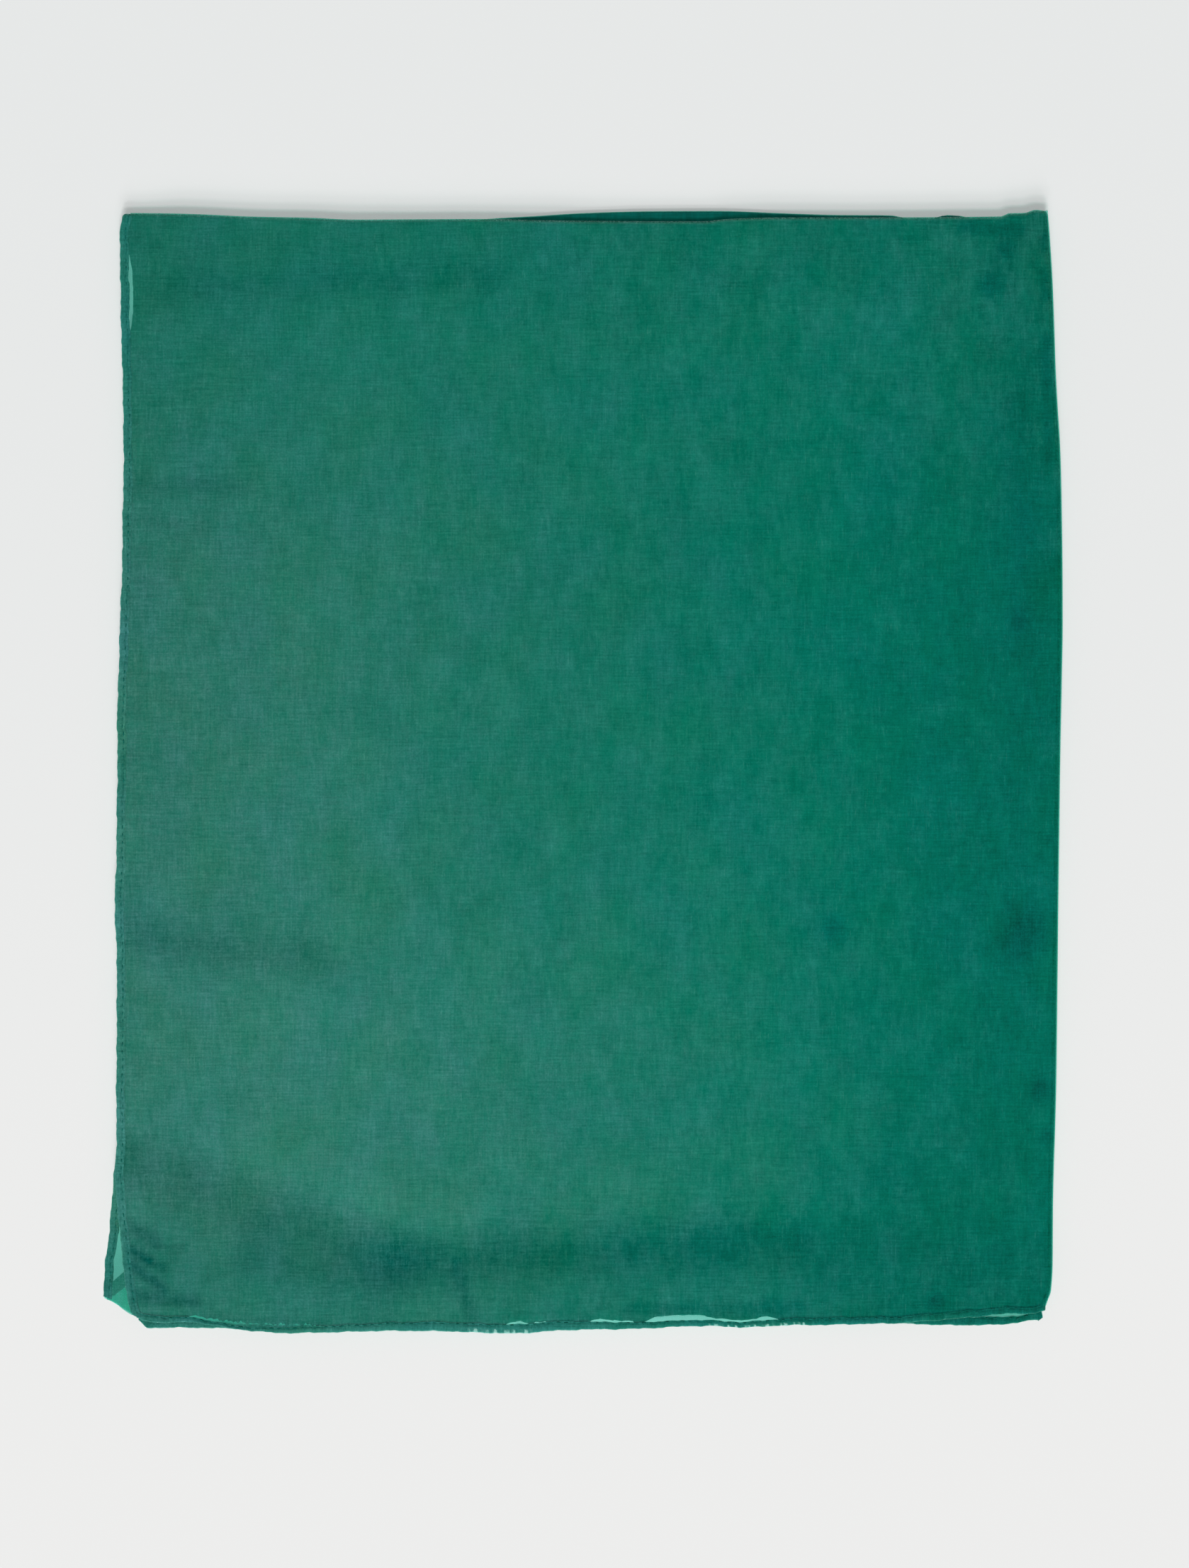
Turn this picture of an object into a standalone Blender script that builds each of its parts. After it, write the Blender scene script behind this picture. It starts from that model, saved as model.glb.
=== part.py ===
"""A voile scarf, folded to eight plies and laid flat.

The cloth is one rectangle of 800 by 1900 mm with a narrow hem all round. It is folded in half twice along its
length and once across, so the folded edges lie at the top (+Y) and on the right (+X), and the hems at the
bottom and on the left. Each ply that shows is a wall of its own, and the six plies between share one solid.

The origin is on the surface that the scarf lies on, under the middle of it: +X to the right, +Y up the folded
length and +Z up. Sizes are in millimetres until they reach a mesh.
"""

import math

import bmesh
import bpy
import numpy as np

MM = 0.001

# The folded scarf
HALF_WIDTH = 200.0
HALF_LENGTH = 236.0
MIDDLE_HEIGHT = 7.6
EDGE_SINK = 1.1
EDGE_SINK_REACH = 27.0
CREASE_LOST_AT_EDGE = 0.6

# Cloth and hems
WALL = 1.0
SEAM_GAP = 0.3
HEM_WIDTH = 3.9
TOP_HEM_WALL = 1.5
TOP_HEM_RAISED = 0.25
LOWER_HEM_WALL = 1.3
HEM_ROUNDING = 0.35

# The turn of the upper stretch round its two folds
TURN_RADIUS = 3.2
TURN_STEPS = 3
SIDE_STEPS = 3
SIDE_TUCK = 1.0
RIGHT_RIM_HEIGHT = 2.0
TOP_RIM_HEIGHT = 3.45

# The fold of the lower stretch, behind the top edge
FOLD_RADIUS = 1.55
FOLD_STEPS = 6
FOLD_REACH = 5.0
FOLD_RIGHT_END = 1.6

# The hidden plies
HIDDEN_FLOOR = 1.7
HIDDEN_CLEARANCE = 1.6
GROOVE_DEPTH = 0.7
FOLD_CLEARANCE = 6.5
WRAP_CLEARANCE = 1.9
WRAP_UNDER = 1.5
WRAP_OVER = 2.3
WRAP_OVER_FROM = 0.75

# Rows of points: close together near an edge, where the cloth sinks, and even between
NEAR_EDGE = (8.0, 17.0, 28.0)
SPACING = 18.0

# Edges of the upper stretch. Left and right rows are (y, x), bottom and top rows are (x, y).
UPPER = {
    "left": [
        (-232.0, -190.4),
        (-221.0, -193.4),
        (-206.0, -195.4),
        (-184.0, -197.7),
        (-171.0, -198.6),
        (-124.0, -198.0),
        (0.0, -196.2),
        (148.0, -194.5),
        (182.0, -195.6),
        (217.0, -196.6),
        (238.0, -194.7),
    ],
    "right": [
        (-229.0, 197.0),
        (-222.0, 199.6),
        (-209.0, 200.3),
        (-169.0, 201.0),
        (-93.0, 202.5),
        (27.0, 203.7),
        (87.0, 203.7),
        (148.0, 203.0),
        (178.0, 201.6),
        (213.0, 200.1),
        (238.5, 198.3),
    ],
    "bottom": [
        (-200.0, -231.8),
        (-186.0, -236.3),
        (-160.0, -236.0),
        (-127.0, -238.6),
        (-97.0, -237.8),
        (-61.0, -237.5),
        (-30.0, -238.6),
        (8.0, -236.9),
        (90.0, -235.1),
        (129.0, -234.5),
        (166.0, -231.5),
        (200.0, -228.3),
    ],
    "top": [
        (-200.0, 237.8),
        (-175.0, 237.5),
        (-142.0, 236.3),
        (-104.0, 234.9),
        (0.0, 234.8),
        (54.0, 234.5),
        (84.0, 236.0),
        (174.0, 236.2),
        (184.0, 237.8),
        (200.0, 238.6),
    ],
}

# Edges of the lower stretch: a flap at the bottom left, and a fold that stands out in the middle of the top
LOWER = {
    "left": [
        (-223.0, -203.6),
        (-208.0, -202.8),
        (-190.0, -200.4),
        (-171.0, -198.6),
        (-150.0, -197.0),
        (0.0, -195.0),
        (148.0, -193.4),
        (180.0, -193.4),
        (192.0, -190.6),
        (219.0, -190.6),
        (230.0, -192.6),
        (238.0, -193.4),
    ],
    "right": [
        (-233.0, 195.4),
        (-222.0, 198.2),
        (-169.0, 199.8),
        (-93.0, 201.3),
        (27.0, 202.5),
        (87.0, 202.5),
        (148.0, 201.8),
        (213.0, 198.9),
        (238.0, 197.2),
    ],
    "bottom": [
        (-203.6, -223.3),
        (-199.5, -224.8),
        (-193.0, -230.0),
        (-186.0, -234.2),
        (-100.0, -234.6),
        (-36.0, -234.4),
        (-24.0, -232.6),
        (-6.0, -232.6),
        (4.0, -230.9),
        (84.0, -230.9),
        (96.0, -233.9),
        (150.0, -235.0),
        (190.0, -233.8),
        (200.0, -232.0),
    ],
    "top": [
        (-200.0, 236.9),
        (-175.0, 236.6),
        (-142.0, 235.4),
        (-104.0, 234.0),
        (-50.0, 234.0),
        (-38.0, 235.7),
        (0.0, 237.8),
        (30.0, 238.6),
        (58.0, 238.7),
        (93.0, 237.4),
        (130.0, 237.0),
        (142.0, 235.4),
        (174.0, 235.4),
        (184.0, 236.9),
        (200.0, 237.7),
    ],
}
FLAP_DIAGONAL_END = -186.0

# Edges of the hidden plies: set back where a single ply shows pale against the surface
HIDDEN = {
    "left": [
        (-232.0, -189.0),
        (-215.0, -191.8),
        (-198.0, -192.6),
        (-165.0, -195.3),
        (-124.0, -195.6),
        (0.0, -194.2),
        (148.0, -192.6),
        (180.0, -192.8),
        (192.0, -190.4),
        (219.0, -190.4),
        (230.0, -192.2),
        (238.0, -192.6),
    ],
    "right": UPPER["right"],
    "bottom": [
        (-200.0, -229.0),
        (-186.0, -233.4),
        (-150.0, -234.2),
        (-50.0, -234.6),
        (-24.0, -232.6),
        (-6.0, -232.6),
        (4.0, -231.0),
        (84.0, -231.0),
        (96.0, -232.6),
        (140.0, -231.8),
        (166.0, -229.4),
        (200.0, -226.2),
    ],
    "top": UPPER["top"],
}

# How far each hidden ply's edge lies inside that outline, from the lowest ply: at the left, at the bottom
HIDDEN_PLY_SETBACKS = (
    (0.3, 0.8),
    (1.4, 0.2),
    (0.6, 1.5),
    (1.7, 0.5),
    (0.2, 1.2),
    (0.9, 0.3),
)

# Soft creases of the upper stretch: from x, from y, to x, to y, half width, height (below zero for a trough)
CREASES = (
    (-190.0, -164.0, -78.0, -207.0, 13.0, -0.7),
    (-78.0, -207.0, 88.0, -197.0, 14.0, -0.6),
    (88.0, -197.0, 160.0, -193.0, 13.0, -0.5),
    (-188.0, -150.0, -60.0, -188.0, 12.0, 0.35),
    (-192.0, -67.0, -112.0, -77.0, 12.0, -0.5),
    (-188.0, 122.0, -138.0, 123.0, 11.0, -0.4),
    (-188.0, 207.0, -108.0, 207.0, 10.0, -0.4),
    (-150.0, 222.0, 150.0, 224.0, 10.0, -0.35),
    (188.0, 178.0, 190.0, 60.0, 9.0, -0.4),
    (100.0, -66.0, 128.0, -76.0, 13.0, -0.35),
    (-30.0, 60.0, 40.0, 20.0, 22.0, 0.35),
)

# Colour (linear RGB) and roughness
CLOTH_COLOUR = (0.010, 0.165, 0.132)
HEM_COLOUR = (0.008, 0.135, 0.108)
HIDDEN_COLOUR = (0.006, 0.110, 0.088)
CLOTH_ROUGHNESS = 0.9


def line_through(rows):
    """A smooth line through the rows of a table, which never swings past them, as a function."""
    along, across = (np.array(column) for column in zip(*rows))
    steps = np.diff(across) / np.diff(along)
    slopes = np.concatenate([steps[:1], np.zeros(len(along) - 2), steps[-1:]])
    for row, (before, after) in enumerate(zip(steps, steps[1:]), start=1):
        if before * after > 0.0:
            slopes[row] = 2.0 * before * after / (before + after)

    def value(at):
        at = min(max(at, along[0]), along[-1])
        row = min(int(np.searchsorted(along, at, side="right")) - 1, len(along) - 2)
        span = along[row + 1] - along[row]
        share = (at - along[row]) / span
        rise = share * share * (3.0 - 2.0 * share)
        bend = span * share * (1.0 - share)
        flat = across[row] + (across[row + 1] - across[row]) * rise
        return flat + bend * ((1.0 - share) * slopes[row] - share * slopes[row + 1])

    return value


def outline(edges):
    return {side: line_through(rows) for side, rows in edges.items()}


UPPER_LINES = outline(UPPER)
LOWER_LINES = outline(LOWER)
HIDDEN_LINES = outline(HIDDEN)


def between(low, high, share):
    return low + (high - low) * share


def plan_point(lines, column, row):
    """x and y of a column and a row, each (share of the way across, distance pulled in from there)."""
    nominal_x = between(-HALF_WIDTH, HALF_WIDTH, column[0])
    nominal_y = between(-HALF_LENGTH, HALF_LENGTH, row[0])
    x = between(lines["left"](nominal_y), lines["right"](nominal_y), column[0]) - column[1]
    y = between(lines["bottom"](nominal_x), lines["top"](nominal_x), row[0]) - row[1]
    return x, y


def fading(distance, reach):
    """1 at no distance, falling smoothly to 0 at the reach."""
    share = min(max(distance / reach, 0.0), 1.0)
    return 1.0 - share * share * (3.0 - 2.0 * share)


def crease_height(x, y):
    """What the soft creases add to the height at x, y."""
    total = 0.0
    for from_x, from_y, to_x, to_y, half_width, height in CREASES:
        run_x, run_y = to_x - from_x, to_y - from_y
        along = ((x - from_x) * run_x + (y - from_y) * run_y) / (run_x**2 + run_y**2)
        along = min(max(along, 0.0), 1.0)
        away = math.hypot(x - from_x - along * run_x, y - from_y - along * run_y)
        total += height * math.exp(-((away / half_width) ** 2))
    return total


def upper_height(x, y):
    """Height of the upper stretch: it sinks towards the hems, where the plies lie closer."""
    from_left = x - UPPER_LINES["left"](y)
    from_bottom = y - UPPER_LINES["bottom"](x)
    sink = max(fading(from_left, EDGE_SINK_REACH), fading(from_bottom, EDGE_SINK_REACH))
    crease = crease_height(x, y) * (1.0 - CREASE_LOST_AT_EDGE * sink)
    return MIDDLE_HEIGHT - EDGE_SINK * sink + crease


def shares(length):
    """Where the rows of points lie along a side, as shares of its length."""
    last = NEAR_EDGE[-1]
    steps = round((length - 2.0 * last) / SPACING)
    middle = [between(last, length - last, step / steps) for step in range(steps + 1)]
    low = list(NEAR_EDGE[:-1])
    high = [length - distance for distance in reversed(low)]
    return [distance / length for distance in low + middle + high]


def panel_stations(length, start, end):
    """(share, pulled in) of every row of a panel that starts and ends this far inside its edges."""
    inner = [(share, 0.0) for share in shares(length)]
    return [(0.0, -start)] + inner + [(1.0, end)]


def turned(stations):
    """The stations with their drops, and those of the quarter turn round a fold added at the end."""
    result = [(share, pulled, 0.0) for share, pulled in stations]
    for step in range(1, TURN_STEPS + 1):
        angle = step / TURN_STEPS * math.pi / 2.0
        result.append((1.0, TURN_RADIUS * (1.0 - math.sin(angle)), TURN_RADIUS * (1.0 - math.cos(angle))))
    return result


def level(stations):
    return [(share, pulled, 0.0) for share, pulled in stations]


def hem_stations():
    """Across a hem, from the outer edge in."""
    return [(0.0, -HEM_WIDTH * share) for share in (0.0, 0.5, 1.0)]


def cloth_material(name, colour):
    material = bpy.data.materials.new(name)
    material.use_nodes = True
    shader = material.node_tree.nodes["Principled BSDF"]
    shader.inputs["Base Color"].default_value = (*colour, 1.0)
    shader.inputs["Roughness"].default_value = CLOTH_ROUGHNESS
    shader.inputs["Metallic"].default_value = 0.0
    return material


def add_object(name, mesh, colour):
    """An object from this bmesh, whose points are in millimetres."""
    bmesh.ops.scale(mesh, vec=(MM, MM, MM), verts=mesh.verts)
    data = bpy.data.meshes.new(name)
    mesh.to_mesh(data)
    mesh.free()
    data.shade_smooth()
    data.set_sharp_from_angle(angle=math.radians(50.0))
    data.materials.append(cloth_material(name, colour))
    thing = bpy.data.objects.new(name, data)
    scarf_collection().objects.link(thing)
    return thing


def scarf_collection():
    found = bpy.data.collections.get("voile_scarf")
    if found is None:
        found = bpy.data.collections.new("voile_scarf")
        bpy.context.scene.collection.children.link(found)
    return found


def thicken(thing, wall, rounding=0.0):
    """Gives an open surface its wall, on the side away from its normals, and rounds the rims."""
    solid = thing.modifiers.new("wall", "SOLIDIFY")
    solid.thickness = wall * MM
    solid.offset = -1.0
    if rounding:
        bevel = thing.modifiers.new("rounded rims", "BEVEL")
        bevel.width = rounding * MM
        bevel.segments = 1
        bevel.limit_method = "ANGLE"
        bevel.angle_limit = math.radians(50.0)


def join_rows(mesh, rows):
    """Faces between rows of points. Seen from outside, points run to the right and rows run upwards."""
    for low, high in zip(rows, rows[1:]):
        for step in range(len(low) - 1):
            mesh.faces.new((low[step], low[step + 1], high[step + 1], high[step]))


def upper_stretch(name, columns, rows, raised, right_turned, top_turned, wall, rounding, colour):
    """Part of the upper layer, turned down round the right fold, the top fold or both."""
    mesh = bmesh.new()
    grid = []
    for row in rows:
        points = []
        for column in columns:
            x, y = plan_point(UPPER_LINES, column, row)
            height = upper_height(x, y) + raised - max(column[2], row[2])
            points.append(mesh.verts.new((x, y, height)))
        grid.append(points)
    join_rows(mesh, grid)

    # The border that goes on down the side: point, which way it tucks in, height of the rim. Where the two
    # folds meet it goes straight down.
    border = []
    if right_turned:
        for row, points in zip(rows, grid):
            meets = row[0] == 1.0
            border.append((points[-1], (float(not meets), 0.0), TOP_RIM_HEIGHT if meets else RIGHT_RIM_HEIGHT))
    if top_turned:
        along = list(zip(columns, grid[-1]))
        if right_turned:
            along.pop()
        for column, point in reversed(along):
            border.append((point, (0.0, float(column[0] < 1.0)), TOP_RIM_HEIGHT))
    sides = [[point for point, _, _ in border]]
    for step in range(1, SIDE_STEPS + 1):
        share = step / SIDE_STEPS
        tuck = SIDE_TUCK * share * share
        lower = []
        for point, way, rim in border:
            x, y, height = point.co
            lower.append(mesh.verts.new((x - way[0] * tuck, y - way[1] * tuck, between(height, rim, share))))
        sides.insert(0, lower)
    join_rows(mesh, sides)
    thicken(add_object(name, mesh, colour), wall, rounding)


def upper_layer():
    """The top ply and its two hems."""
    inside_hem = HEM_WIDTH + SEAM_GAP
    across = panel_stations(2.0 * HALF_WIDTH, inside_hem, TURN_RADIUS)
    up = panel_stations(2.0 * HALF_LENGTH, inside_hem, TURN_RADIUS)
    from_bottom = [(0.0, 0.0)] + up[1:]
    upper_stretch("top_ply", turned(across), turned(up), 0.0, True, True, WALL, 0.0, CLOTH_COLOUR)
    hem = (TOP_HEM_RAISED, TOP_HEM_WALL, HEM_ROUNDING)
    upper_stretch(
        "top_hem_left", level(hem_stations()), turned(from_bottom), hem[0], False, True, *hem[1:], HEM_COLOUR
    )
    upper_stretch(
        "top_hem_bottom", turned(across), level(hem_stations()), hem[0], True, False, *hem[1:], HEM_COLOUR
    )


def fold_section():
    """(distance inside the edge, height) round the fold of the lower stretch, from below."""
    section = []
    for step in range(1, FOLD_STEPS + 1):
        angle = step / FOLD_STEPS * math.pi
        section.append((FOLD_RADIUS * (1.0 - math.sin(angle)), FOLD_RADIUS * (1.0 - math.cos(angle))))
    return section + [(FOLD_REACH, 2.0 * FOLD_RADIUS)]


def lower_point(mesh, column, row, height=0.0):
    x, y = plan_point(LOWER_LINES, column, row)
    return mesh.verts.new((x, y, height))


def add_fold(mesh, start, columns):
    """Carries the row of points at the top of a lower piece up and back round the fold."""
    rows = [list(reversed(start))]
    for inside, height in fold_section():
        rows.append([lower_point(mesh, column, (1.0, inside), height) for column in reversed(columns)])
    join_rows(mesh, rows)


def lower_ply():
    """The lowest ply, flat on the surface, with its fold along the top."""
    inside_hem = HEM_WIDTH + SEAM_GAP
    columns = panel_stations(2.0 * HALF_WIDTH, inside_hem, 0.0)
    folded = columns[:-1] + [(1.0, FOLD_RIGHT_END)]
    rows = panel_stations(2.0 * HALF_LENGTH, inside_hem, FOLD_RADIUS)
    diagonal_share = (FLAP_DIAGONAL_END + HALF_WIDTH) / (2.0 * HALF_WIDTH)
    border = [(columns[-1], row) for row in reversed(rows)]
    border += [(column, rows[0]) for column in reversed(columns[1:-1]) if column[0] > diagonal_share]
    border += [((diagonal_share, 0.0), rows[0]), ((diagonal_share, 0.0), (0.0, 0.0)), (columns[0], (0.0, 0.0))]
    border += [(columns[0], row) for row in rows[1:-1]]
    mesh = bmesh.new()
    top = [lower_point(mesh, column, rows[-1]) for column in folded]
    mesh.faces.new(top + [lower_point(mesh, column, row) for column, row in border])
    add_fold(mesh, top, folded)
    thicken(add_object("lower_ply", mesh, CLOTH_COLOUR), WALL)


def lower_hems():
    """The two hems of the lowest ply: up the left side and round its fold, and along the bottom."""
    inside_hem = HEM_WIDTH + SEAM_GAP
    columns = hem_stations()
    rows = [(0.0, 0.0)] + panel_stations(2.0 * HALF_LENGTH, inside_hem, FOLD_RADIUS)[1:]
    mesh = bmesh.new()
    grid = [[lower_point(mesh, column, row) for column in reversed(columns)] for row in rows]
    join_rows(mesh, grid)
    add_fold(mesh, list(reversed(grid[-1])), columns)
    thicken(add_object("lower_hem_left", mesh, HEM_COLOUR), LOWER_HEM_WALL, HEM_ROUNDING)

    start = (FLAP_DIAGONAL_END + SEAM_GAP + HALF_WIDTH) / (2.0 * HALF_WIDTH)
    panel = panel_stations(2.0 * HALF_WIDTH, inside_hem, 0.0)
    columns = [(start, 0.0)] + [column for column in panel if column[0] > start]
    mesh = bmesh.new()
    grid = [[lower_point(mesh, column, row) for column in reversed(columns)] for row in hem_stations()]
    join_rows(mesh, grid)
    thicken(add_object("lower_hem_bottom", mesh, HEM_COLOUR), LOWER_HEM_WALL, HEM_ROUNDING)


def ring_insets(ring, rings):
    """How far ring number ring of the hidden plies lies inside the outline: left, right, bottom, top."""
    plies = len(HIDDEN_PLY_SETBACKS)
    left, bottom = HIDDEN_PLY_SETBACKS[min(ring // 2, plies - 1)]
    if ring % 2 == 0:
        inner = HIDDEN_PLY_SETBACKS[max(ring // 2 - 1, 0)]
        left = max(left, inner[0]) + GROOVE_DEPTH
        bottom = max(bottom, inner[1]) + GROOVE_DEPTH
    share = ring / rings
    under = WRAP_UNDER * (1.0 - share) ** 2
    over = WRAP_OVER * max(0.0, (share - WRAP_OVER_FROM) / (1.0 - WRAP_OVER_FROM)) ** 2.5
    right = WRAP_CLEARANCE + under + over
    top = WRAP_CLEARANCE + over if ring > rings / 2 else FOLD_CLEARANCE
    return left, right, bottom, top


def hidden_plies():
    """The six plies between, as one solid. Their edges are rounded noses with grooves between."""
    rings = 2 * len(HIDDEN_PLY_SETBACKS)
    columns = [0.0] + shares(2.0 * HALF_WIDTH) + [1.0]
    rows = [0.0] + shares(2.0 * HALF_LENGTH) + [1.0]

    def point(column, row, ring):
        left, right, bottom, top = ring_insets(ring, rings)
        x, y = plan_point(HIDDEN_LINES, (column, between(-left, right, column)), (row, between(-bottom, top, row)))
        height = between(HIDDEN_FLOOR, upper_height(x, y) - HIDDEN_CLEARANCE, ring / rings)
        return x, y, height

    around = [(column, 0.0) for column in columns[:-1]]
    around += [(1.0, row) for row in rows[:-1]]
    around += [(column, 1.0) for column in reversed(columns[1:])]
    around += [(0.0, row) for row in reversed(rows[1:])]
    mesh = bmesh.new()
    loops = [[mesh.verts.new(point(column, row, ring)) for column, row in around] for ring in range(rings + 1)]
    join_rows(mesh, [loop + loop[:1] for loop in loops])
    mesh.faces.new(reversed(loops[0]))
    top = dict(zip(around, loops[-1]))
    grid = []
    for row in rows:
        line = []
        for column in columns:
            line.append(top.get((column, row)) or mesh.verts.new(point(column, row, rings)))
        grid.append(line)
    join_rows(mesh, grid)
    add_object("hidden_plies", mesh, HIDDEN_COLOUR)


def clear_scene():
    for thing in list(bpy.data.objects):
        bpy.data.objects.remove(thing)


def main():
    clear_scene()
    upper_layer()
    hidden_plies()
    lower_ply()
    lower_hems()


main()
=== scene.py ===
"""Looks of the folded voile scarf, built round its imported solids.

The cloth is made here as thin shells that lie where the solids are: the top ply, its two hems, the plies
between, the lowest ply with its hems and its turned-back corner, and the stitches. Sizes are in millimetres
until they reach a mesh. +X is right in the photograph, +Y is up it and +Z is up from the surface.
"""

import math

import bmesh
import bpy
import numpy as np
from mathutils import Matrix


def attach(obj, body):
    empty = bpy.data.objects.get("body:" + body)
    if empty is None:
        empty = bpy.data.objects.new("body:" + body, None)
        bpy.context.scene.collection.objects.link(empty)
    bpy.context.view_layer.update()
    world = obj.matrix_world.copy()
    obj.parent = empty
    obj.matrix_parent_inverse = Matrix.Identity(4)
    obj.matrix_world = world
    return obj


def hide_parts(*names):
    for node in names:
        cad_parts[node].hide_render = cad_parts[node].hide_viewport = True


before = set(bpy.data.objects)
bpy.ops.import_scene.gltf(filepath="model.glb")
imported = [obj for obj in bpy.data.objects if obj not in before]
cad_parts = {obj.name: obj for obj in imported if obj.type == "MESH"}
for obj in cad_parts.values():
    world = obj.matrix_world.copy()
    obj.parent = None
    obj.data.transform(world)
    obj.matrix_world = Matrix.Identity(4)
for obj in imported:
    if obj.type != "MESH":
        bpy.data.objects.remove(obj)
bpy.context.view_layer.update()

MM = 0.001

# The photograph: its size, its scale at the cloth, and the point of the frame that the origin falls on
PHOTO_WIDTH, PHOTO_HEIGHT = 1678, 2212
MM_PER_PIXEL = 0.3014
ORIGIN_PIXEL = (821.0, 1090.0)
CAMERA_HEIGHT = 2000.0
SENSOR = 36.0

# The folded scarf, as in its solids
HALF_WIDTH = 200.0
HALF_LENGTH = 236.0
MIDDLE_HEIGHT = 7.6
EDGE_SINK = 1.1
EDGE_SINK_REACH = 27.0
CREASE_LOST_AT_EDGE = 0.5
CREASE_MOST = 0.55
SHARP_FROM = math.radians(60.0)

# Where rows of points lie: how far each zone goes across the packet or up it, and the step in it
TOP_ACROSS = ((44.0, 1.25), (356.0, 3.0), (400.0, 1.6))
TOP_UP = ((46.0, 1.25), (424.0, 3.0), (472.0, 1.6))
LOWER_ACROSS = ((30.0, 1.5), (375.0, 6.0), (400.0, 2.0))
LOWER_UP = ((40.0, 1.5), (452.0, 6.0), (472.0, 2.5))
BETWEEN_ACROSS = ((32.0, 1.6), (92.0, 0.8), (160.0, 2.4), (200.0, 1.4), (300.0, 1.6), (400.0, 2.4))
BETWEEN_UP = ((40.0, 2.5), (400.0, 5.0), (472.0, 1.6))

# Unevenness: the lengths of the waves and how far each goes
SWELLS = ((95.0, 0.16), (61.0, 0.12), (47.0, 0.10), (33.0, 0.08), (24.0, 0.05), (17.0, 0.035))
RIPPLE = 0.08
RIPPLE_LENGTHS = ((6.3, 9.1), (-11.0, 7.7))
HEM_EDGE_WAVES = (41.0, 17.3, 9.1, 5.3, 3.3), (0.12, 0.12, 0.09, 0.06, 0.05)
HEM_BULGE_WAVES = (23.0, 11.0, 6.1), (0.03, 0.03, 0.03)
HEM_WIDTH_WAVES = (57.0, 19.0, 7.7), (0.12, 0.08, 0.06)
FRAYED_WAVES = (2.1, 3.4, 1.3, 5.7), (0.5, 0.4, 0.35, 0.4)
SPECK_WAVES = (1.9, 2.7, 4.1, 7.3), (0.5, 0.5, 0.4, 0.4)
PLY_LEFT_WAVES = (37.0, 14.0, 6.0), (0.15, 0.12, 0.08)
PLY_BOTTOM_WAVES = (43.0, 16.0, 7.0), (0.12, 0.10, 0.06)

# The top ply's hems. A span is from and to: y at the left edge, x along the bottom one
HEM_WIDTH = 3.9
HEM_STEP = 0.8
SIDE_SEAM_INSET = 1.4
END_SEAM_INSET = 0.65
SHEET_UNDER_HEM = 1.4
LEFT_HEM_SPAN = (-231.5, 235.6)
LEFT_HEM_ABOVE_BOTTOM = 0.3
BOTTOM_HEM_SPAN = (-189.5, 196.0)
BOTTOM_HEM_FOLD_Y = -228.0

# The painted shade in the seam's groove: how dark it stays between stitches and how wide it is; what a stitch
# does to the hem
GROOVE_BETWEEN_STITCHES = 0.4
GROOVE_WIDTH = 0.8
STITCH_PULL = 0.05
STITCH_PUFF = 0.03

# Stitches: their size, how much they vary, and where they run
STITCH_PITCH = 3.3
STITCH_LENGTH = 1.9
STITCH_HALF_WIDTH = 0.25
STITCH_HALF_HEIGHT = 0.14
STITCH_PROFILE = ((-1.0, 0.0), (-0.8, 0.75), (0.0, 1.0), (0.8, 0.75), (1.0, 0.0))
STITCH_SIDES = 8
STITCH_LENGTHS = (0.72, 1.2)
STITCH_ASIDE = 0.1
STITCH_DEPTHS = (-0.14, 0.06)
STITCH_SKEW = 0.12
STITCH_LIFT = 0.10
LEFT_STITCHES = (-227.7, 233.5)
BOTTOM_STITCHES = (-184.8, 194.0)
LOWER_STITCH_LIFT = 0.14
LOWER_LEFT_STITCHES = (-220.0, 232.0)
LOWER_BOTTOM_STITCHES = (-180.0, 193.0)

# The turns round the folds: how far out and how far down each goes
RIGHT_TURN = (2.4, 3.0)
TOP_TURN = (1.1, 1.6)
TURN_STEPS = 6
UNDER_STEPS = 6
UNDER_TURN = math.radians(160.0)
RIGHT_RIM_HEIGHT = 0.7
TOP_RIM_HEIGHT = 3.5
CORNER_BLEND = 9.0

# The lowest ply. It is further from the camera, so it is that much larger than its outline in the photograph
LOWER_HEIGHT = 0.55
LOWER_SCALE = 1.0 + (MIDDLE_HEIGHT - LOWER_HEIGHT) / CAMERA_HEIGHT
LOWER_HEM_BASE = 0.5
LOWER_HEM_STEP = 0.9
LOWER_LEFT_HEM_TOP = 234.0
LOWER_BOTTOM_HEM_SPAN = (-189.2, 197.6)
LOWER_HEM_INSIDE_RIGHT = 0.2
LOWER_SHEET_UNDER_HEM = 1.6
# How dark the painted shade in the seams of the lowest ply's hems is
LOWER_SEAM_DARKNESS = 0.15
LOWER_FOLD_BASE = 0.25
LOWER_FOLD_RADIUS = 1.35
LOWER_FOLD_STEPS = 8
LOWER_FOLD_REACH = 7.0

# The plies between
STACK_FLOOR = 0.8
STACK_BELOW_TOP = 0.45
STACK_INSIDE_FOLD = 0.4
GROOVE_DEPTH = 0.55
GROOVE_SHARE_AT_FOLDS = 0.6
TOP_RING_NOSE = 0.75
# How much of the creases' painted shade and highlight the plies between and the hems take
STACK_CREASE_SHARE = 0.8
HEM_CREASE_SHARE = 0.6
RINGS_A_PLY = 4

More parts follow.
